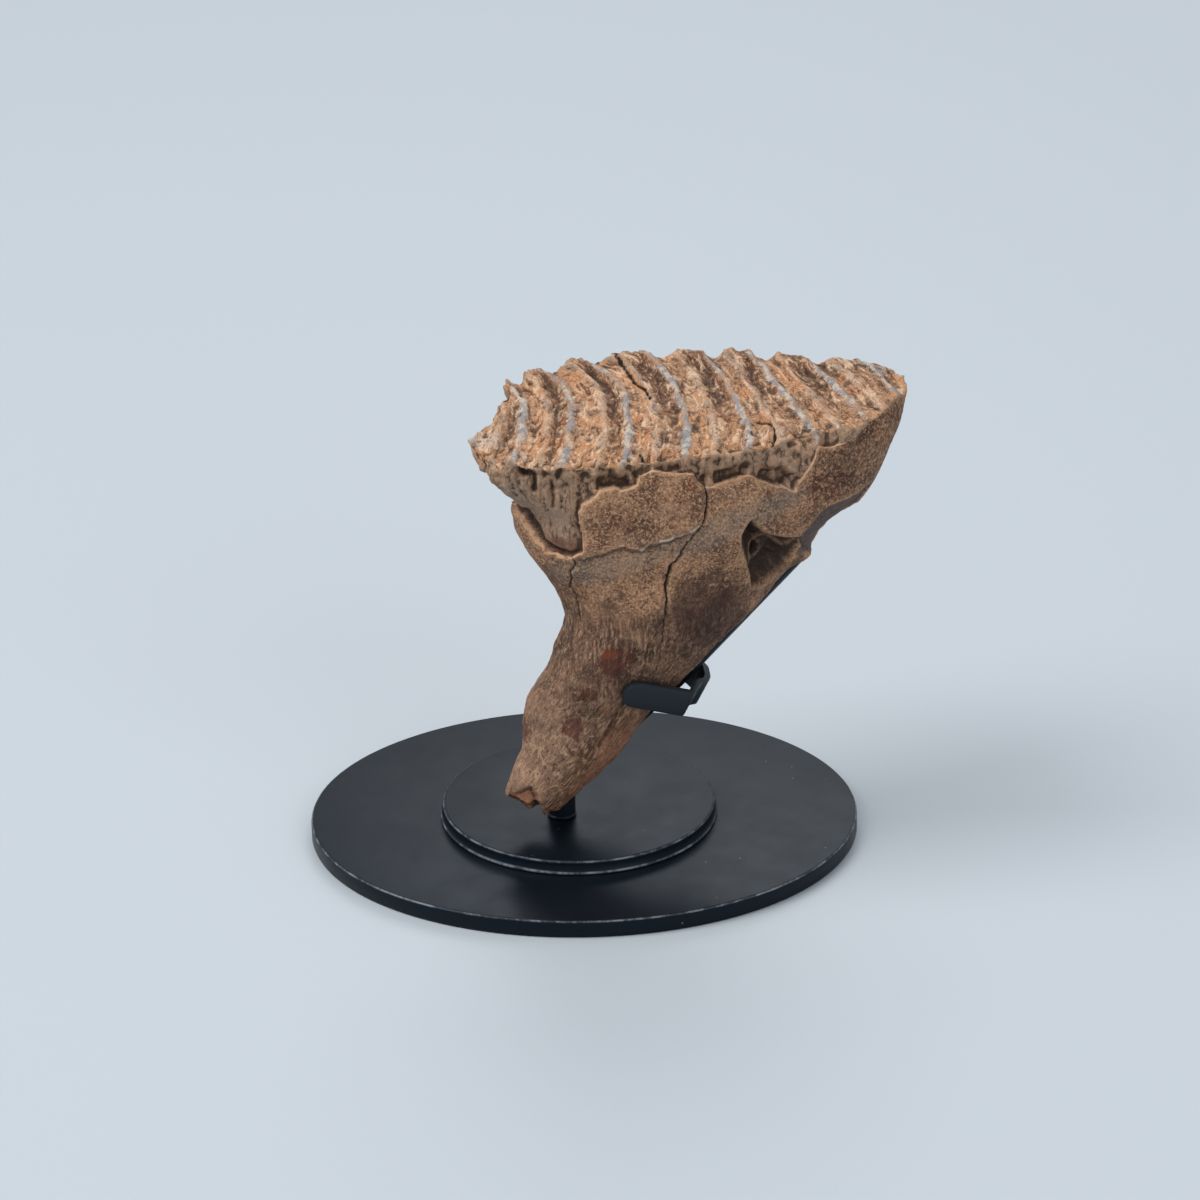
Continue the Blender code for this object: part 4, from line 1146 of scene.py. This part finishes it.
def fossilMaterial(dust):
    material, tree, shader = newMaterial("fossilTooth")
    place = tree.nodes.new("ShaderNodeTexCoord").outputs["Object"]
    spot = addNode(tree, "ShaderNodeVectorMath", {0: place, "Scale": 1.0 / mm}, operation="SCALE").outputs[0]
    grain = attributeNode(tree, "grain", "Vector")
    height = addNode(tree, "ShaderNodeSeparateXYZ", {0: spot})
    front = attributeNode(tree, "frontSide")

    low = remap(height.outputs[2], 66.0, 34.0)
    root = rootColour(tree, spot, grain, low)
    across = addNode(tree, "ShaderNodeSeparateXYZ", {0: grain}).outputs[0]
    leftSide = remap(across, 3.0, -9.0)
    paleShare = times(low, leftSide, 0.8)
    root = mixColour(paleShare, root, mixColour(0.55, tone("pale"), root))
    rightSide = times(remap(across, -1.0, 8.0), remap(height.outputs[2], 52.0, 34.0))
    root = over(root, "tip", times(rightSide, 0.45))
    ragged = plus(height.outputs[2], remap(noiseNode(spot, 0.12, 4.0), 0.3, 0.7, -9.0, 9.0, False))
    colour = mixColour(remap(ragged, 69.0, 88.0), root, crustColour(spot))
    lumpy = noiseNode(spot, 0.8, 4.0, 0.75)
    # shadeStain is painted shade; the other stains are the tooth's own colour
    stained = [("greyStain", "grey", 0.32), ("redStain", "red", 0.8), ("rustStain", "rust", 0.7),
               ("shadeStain", "shade", 0.65)]
    for name, shade, strength in stained:        # each stain is ragged at its edge
        share = plus(attributeNode(tree, name), remap(lumpy, 0.3, 0.7, -0.7, 0.6, False))
        share = times(remap(share, 0.05, 0.75), strength)
        colour = over(colour, shade, share)

    covered = minus(1.0, attributeNode(tree, "exposed"))
    side = attributeNode(tree, "crustSide")
    # painted highlight: a light line along the crust side of its broken edge
    rim = times(remap(side, -0.42, -0.22), remap(side, 0.1, 0.0))
    rim = times(rim, remap(noiseNode(spot, 0.5, 3.0), 0.40, 0.52, 0.3, 1.0))
    band = bandColour(tree, spot)
    band = over(band, "grey", times(attributeNode(tree, "greyStain"), 0.35))
    band = over(band, "red", times(attributeNode(tree, "redStain"), 0.75))
    colour = mixColour(attributeNode(tree, "exposed"), colour, band)
    colour = over(colour, "edge", times(rim, front))
    table, enamel = tableColour(tree, spot)
    onTable = attributeNode(tree, "tableTone")
    colour = mixColour(onTable, colour, table)
    enamel = times(enamel, onTable)

    # painted shade: the hollow is darkened
    hollow = attributeNode(tree, "hollow")
    colour = over(colour, "hollow", times(remap(hollow, 0.0, 0.35), 0.9))
    # painted shade: the pit is made near black and the broken facet dark slate; ledge and tip keep their own
    # tones
    for name, shade, strength in (("pit", "crack", 0.8), ("ledge", "rootMid", 0.15), ("facet", "facet", 0.8),
                                  ("tip", "tip", 0.7)):
        colour = over(colour, shade, times(attributeNode(tree, name), strength))
    for name, wide, deep in (("mainCrack", 0.26, 1.0), ("sideCrack", 0.12, 0.6), ("lowCrack", 0.14, 0.5)):
        offset = mathNode("ABSOLUTE", attributeNode(tree, name))
        line = times(remap(offset, wide + 0.2, wide * 0.4), front)
        fade = remap(height.outputs[2], 60.0, 82.0, 0.4 * deep, deep)
        line = times(line, covered, fade)
        colour = over(colour, "crack", line)
    seam = attributeNode(tree, "seamSide")
    # painted shadow: a dark line under the crust plate's raised step
    seamShadow = times(remap(mathNode("ABSOLUTE", seam), 0.4, 0.1), 0.6)
    colour = over(colour, "rootDark", seamShadow)
    chip = times(remap(seam, 0.2, 0.5), remap(seam, 1.3, 0.8))
    chip = times(chip, remap(noiseNode(spot, 0.22, 3.0), 0.54, 0.60))
    colour = over(colour, "enamelCream", times(chip, 0.8))
    sharp = attributeNode(tree, "sharp")
    broad = attributeNode(tree, "broad")
    # crevices darker as painted shade, sharp edges lighter as painted highlight
    colour = over(colour, "bandDark", remap(sharp, -0.2, -0.9, 0.0, 0.65))
    colour = over(colour, "bandDark", remap(broad, -0.25, -1.0, 0.0, 0.45))
    lit = mixColour(0.4, colour, tone("crustLight"))
    colour = mixColour(remap(sharp, 0.2, 0.9, 0.0, 0.5), colour, lit)
    specks, film = placeDust(tree, dust, place, 900.0, 0.08, 0.35)
    colour = over(colour, "enamelCream", specks)
    tree.links.new(colour, shader.inputs["Base Color"])

    rough = remap(noiseNode(spot, 0.7, 4.0), 0.3, 0.7, 0.62, 0.88)
    rough = minus(rough, times(enamel, 0.28))
    rough = mathNode("ADD", rough, times(film, 0.1), clamp=True)
    tree.links.new(rough, shader.inputs["Roughness"])
    shader.inputs["Specular IOR Level"].default_value = fossilFinish["shine"]
    pores = noiseNode(spot, 2.4, 3.0, 0.7)
    fibres = noiseNode(grain, 2.2, 3.0, 0.65, 0.4)
    lower = remap(height.outputs[2], 92.0, 74.0)
    relief = mixValue(lower, pores, fibres)
    crumbs = noiseNode(spot, 1.1, 5.0, 0.75)
    relief = mixValue(onTable, relief, crumbs)
    bump = addNode(tree, "ShaderNodeBump", {"Height": relief, "Strength": fossilFinish["bumpStrength"],
                                            "Distance": fossilFinish["bumpHeight"] * mm})
    tree.links.new(bump.outputs[0], shader.inputs["Normal"])
    return material


# Stand: finish
satin = {
    "colour": (12, 19, 27), "rough": 0.36, "shine": 0.17, "tint": (0.68, 0.82, 1.0, 1.0),
    # worn is the colour of the painted rim highlight
    "steel": (46, 50, 54), "worn": (142, 147, 152), "cloud": (24, 30, 38), "film": (120, 124, 128),
    "speck": (170, 174, 178), "grainScale": 2600.0, "grainDepth": 0.02,
}


def satinTone(name):
    return srgb(*satin[name])


def satinMaterial(dust):
    material, tree, shader = newMaterial("satinBlackPaint")
    place = tree.nodes.new("ShaderNodeTexCoord").outputs["Object"]
    specks, film = placeDust(tree, dust, place, 430.0, 0.02, 0.5)
    cloud = noiseNode(place, 30.0, 4.0)
    colour = mixColour(remap(cloud, 0.3, 0.7, 0.0, 0.12), satinTone("colour"), satinTone("cloud"))
    colour = mixColour(times(film, 0.01), colour, satinTone("film"))
    colour = mixColour(times(specks, 0.6), colour, satinTone("speck"))
    # painted highlight along the rims, broken into short dashes
    nicks = remap(noiseNode(place, 160.0, 5.0, 0.75), 0.44, 0.62, 0.16, 1.0)
    worn = times(attributeNode(tree, "rimHighlight"), nicks)
    colour = mixColour(attributeNode(tree, "steel"), colour, satinTone("steel"))
    colour = mixColour(worn, colour, satinTone("worn"))
    tree.links.new(colour, shader.inputs["Base Color"])
    shader.inputs["Specular IOR Level"].default_value = satin["shine"]
    shader.inputs["Specular Tint"].default_value = satin["tint"]
    rough = remap(noiseNode(place, 90.0, 4.0), 0.3, 0.7, satin["rough"] - 0.03, satin["rough"] + 0.04)
    tree.links.new(rough, shader.inputs["Roughness"])
    grain = noiseNode(place, satin["grainScale"], 2.0, 0.5)
    bump = addNode(tree, "ShaderNodeBump", {"Height": grain, "Strength": 0.35,
                                            "Distance": satin["grainDepth"] * mm})
    tree.links.new(bump.outputs[0], shader.inputs["Normal"])
    return material


# Stand: pieces

def turnedMesh(name, profile, steps, worn, halfY=1.0, centre=(0.0, 0.0)):
    # a closed turned shape: the profile runs from the top's middle out and down to the bottom's middle,
    # and worn gives the painted rim highlight at some of its points
    work = bmesh.new()
    rings = []
    for radius, z in profile[1:-1]:
        ring = []
        for k in range(steps):
            turn = 2 * math.pi * k / steps
            x, y = radius * math.cos(turn), radius * math.sin(turn) * halfY
            ring.append(work.verts.new(Vector((centre[0] + x, centre[1] + y, z)) * mm))
        rings.append(ring)
    poles = [work.verts.new(Vector((*centre, profile[end][1])) * mm) for end in (0, -1)]
    for k in range(steps):
        j = (k + 1) % steps
        work.faces.new((poles[0], rings[0][k], rings[0][j]))
        work.faces.new((poles[1], rings[-1][j], rings[-1][k]))
        for upper, lower in zip(rings[:-1], rings[1:]):
            work.faces.new((upper[k], lower[k], lower[j], upper[j]))
    mesh = closedMesh(work, name)
    rimHighlight = np.zeros(len(mesh.vertices))
    for point, value in worn.items():
        rimHighlight[(point - 1) * steps:point * steps] = value
    storeValue(mesh, "rimHighlight", rimHighlight)
    shadeEdges(mesh, 50)
    return mesh


def cornerArc(radius, top, size, steps=6):
    # rounded top corner of a turned profile
    turns = [math.pi / 2 * (1 - k / steps) for k in range(steps + 1)]
    return [(radius - size * (1 - math.cos(t)), top - size * (1 - math.sin(t))) for t in turns]


def makeBase(paint):
    thick, edge = stand["baseThick"], stand["baseEdge"]
    half = stand["baseHalfLength"]
    profile = [(0.0, thick), (half * 0.5, thick)] + cornerArc(half, thick, edge)
    profile += [(half, 0.5), (half - 0.2, 0.15), (half - 0.5, 0.0), (half * 0.5, 0.0), (0.0, 0.0)]
    ratio = stand["baseHalfDepth"] / half
    mesh = turnedMesh("basePlate", profile, 240, stand["baseRimHighlight"], halfY=ratio)
    dressNode(placePiece("basePlate", mesh, paint), "base_plate")


def makeRiser(paint):
    top, foot, wide = stand["riserTop"], stand["riserFoot"], stand["riserRadius"]
    lip = wide + stand["riserLip"]
    profile = [(0.0, top), (wide * 0.5, top)] + cornerArc(wide, top, stand["riserEdge"])
    profile += [(wide, foot + 1.0), (wide + 0.25, foot + 0.75), (lip - 0.2, foot + 0.62),
                (lip, foot + 0.4), (lip, foot), (wide * 0.5, foot), (0.0, foot)]
    mesh = turnedMesh("riserDisc", profile, 200, stand["riserRimHighlight"], centre=stand["riserCentre"])
    dressNode(placePiece("riserDisc", mesh, paint), "riser_disc")


def rodPath():
    foot, knee, clip, end = (Vector(p) for p in stand["rodCorners"])
    down = (foot - knee).normalized()
    out = (clip - knee).normalized()
    half = down.angle(out) / 2
    reach = stand["rodKnee"] / math.tan(half)
    middle = knee + (down + out).normalized() * (stand["rodKnee"] / math.sin(half))
    start = knee + down * reach - middle
    turn = math.pi - 2 * half
    axis = start.cross(out).normalized()
    steps = 12
    path = [foot]
    for k in range(steps + 1):
        swing = turn * k / steps
        path.append(middle + start * math.cos(swing) + axis.cross(start) * math.sin(swing))
    path += [clip.lerp(knee, 0.16), clip.lerp(knee, 0.05), clip.lerp(end, 0.04), clip.lerp(end, 0.12), end]
    return path


def makeRod(paint):
    path = rodPath()
    sides = 40
    bevel = 0.6
    last = path[-1]
    inward = (path[-2] - last).normalized()
    thick = stand["rodRadius"]
    rings = [(p, thick) for p in path[:-1]]
    rings += [(last + inward * bevel, thick), (last + inward * bevel * 0.3, thick - bevel * 0.3),
              (last, thick - bevel)]
    foot = path[0]
    tall, wide = stand["collarHeight"], stand["collarRadius"]
    skirt = [(wide - 0.3, 0.0), (wide, 0.3), (wide, tall - 0.55), (wide - 0.35, tall - 0.15), (thick, tall)]
    rings = [(foot + Vector((0, 0, z)), r) for r, z in skirt] + rings[1:]
    work = bmesh.new()
    rows = []
    up = Vector((0.0, 0.0, 1.0))
    across = Vector((1.0, 0.0, 0.0))
    for k, (centre, radius) in enumerate(rings):
        before = rings[max(k - 1, 0)][0]
        after = rings[min(k + 1, len(rings) - 1)][0]
        along = up if k < len(skirt) + 1 else (after - before).normalized()
        if k >= len(rings) - 3:
            along = -inward
        across = (across - along * across.dot(along)).normalized()
        beside = along.cross(across)
        row = []
        for s in range(sides):
            turn = 2 * math.pi * s / sides
            outward = across * math.cos(turn) + beside * math.sin(turn)
            row.append(work.verts.new((centre + outward * radius) * mm))
        rows.append(row)
    for lower, upper in zip(rows[:-1], rows[1:]):
        for s in range(sides):
            t = (s + 1) % sides
            work.faces.new((lower[s], lower[t], upper[t], upper[s]))
    work.faces.new(rows[0][::-1])
    work.faces.new(rows[-1])
    mesh = closedMesh(work, "supportRod")
    shadeEdges(mesh, 40)
    storeValue(mesh, "steel", np.full(len(mesh.vertices), stand["rodSteel"]))
    dressNode(placePiece("supportRod", mesh, paint), "support_rod")


def strapStations():
    # the route with its bends eased, as along, deep and half width
    route = [np.array(p) for p in stand["strapRoute"]]
    dense = [route[0]]
    for first, middle, last in zip(route[:-2], route[1:-1], route[2:]):
        ease = min(0.9, 0.35 * np.linalg.norm(middle - first), 0.35 * np.linalg.norm(last - middle))
        a = middle + (first - middle) / np.linalg.norm(first - middle) * ease
        b = middle + (last - middle) / np.linalg.norm(last - middle) * ease
        dense += [(1 - t) ** 2 * a + 2 * t * (1 - t) * middle + t * t * b for t in np.linspace(0, 1, 5)]
    dense.append(route[-1])
    steps = [np.linalg.norm(q - p) for p, q in zip(dense[:-1], dense[1:])]
    length = np.concatenate([[0.0], np.cumsum(steps)])
    radius = stand["strapWidth"] / 2
    ends = radius * (1 - np.cos(np.linspace(0.12, math.pi / 2, 10)))
    middle = length[(length > radius) & (length < length[-1] - radius)]
    stations = np.unique(np.concatenate([ends, length[-1] - ends, middle]))
    places = np.stack([np.interp(stations, length, [p[k] for p in dense]) for k in range(2)], -1)
    toEnd = np.minimum(np.minimum(stations, length[-1] - stations), radius)
    return places, np.sqrt(np.maximum(radius**2 - (radius - toEnd) ** 2, 0.0))


def makeStrap(paint):
    side, back, up = strapAxes()
    places, halves = strapStations()
    work = bmesh.new()
    rows = []
    for (along, deep), half in zip(places, halves):
        middle = np.array(stand["strapCentre"]) + along * side + deep * back
        rows.append([work.verts.new((middle + up * half * s) * mm) for s in (-1.0, -0.33, 0.33, 1.0)])
    for first, second in zip(rows[:-1], rows[1:]):
        for s in range(3):
            work.faces.new((first[s], second[s], second[s + 1], first[s + 1]))
    mesh = bpy.data.meshes.new("clawStrap")
    work.to_mesh(mesh)
    work.free()
    strap = placePiece("clawStrap", mesh, paint)
    wall = strap.modifiers.new("thickness", "SOLIDIFY")
    wall.thickness = stand["strapThick"] * mm
    wall.offset = 0.0
    wall.use_even_offset = True
    edge = strap.modifiers.new("edge", "BEVEL")
    edge.width = 0.35 * mm
    edge.segments = 3
    edge.limit_method = "ANGLE"
    edge.angle_limit = math.radians(50)
    mesh = evaluatedMesh(strap)
    strap.modifiers.clear()
    strap.data = mesh
    shadeEdges(mesh, 35)
    storeValue(mesh, "steel", np.full(len(mesh.vertices), stand["strapSteel"]))
    dressNode(strap, "claw_strap")


# Make it all
makeCamera()
makeStudio()
print("camera, floor and light made")
settledDust = dustGroup()
paint = satinMaterial(settledDust)
makeBase(paint)
makeRiser(paint)
makeRod(paint)
makeStrap(paint)
print("stand made")
tooth = sculptTooth(fossilMaterial(settledDust))
dressNode(tooth, "tooth")
print("tooth made")
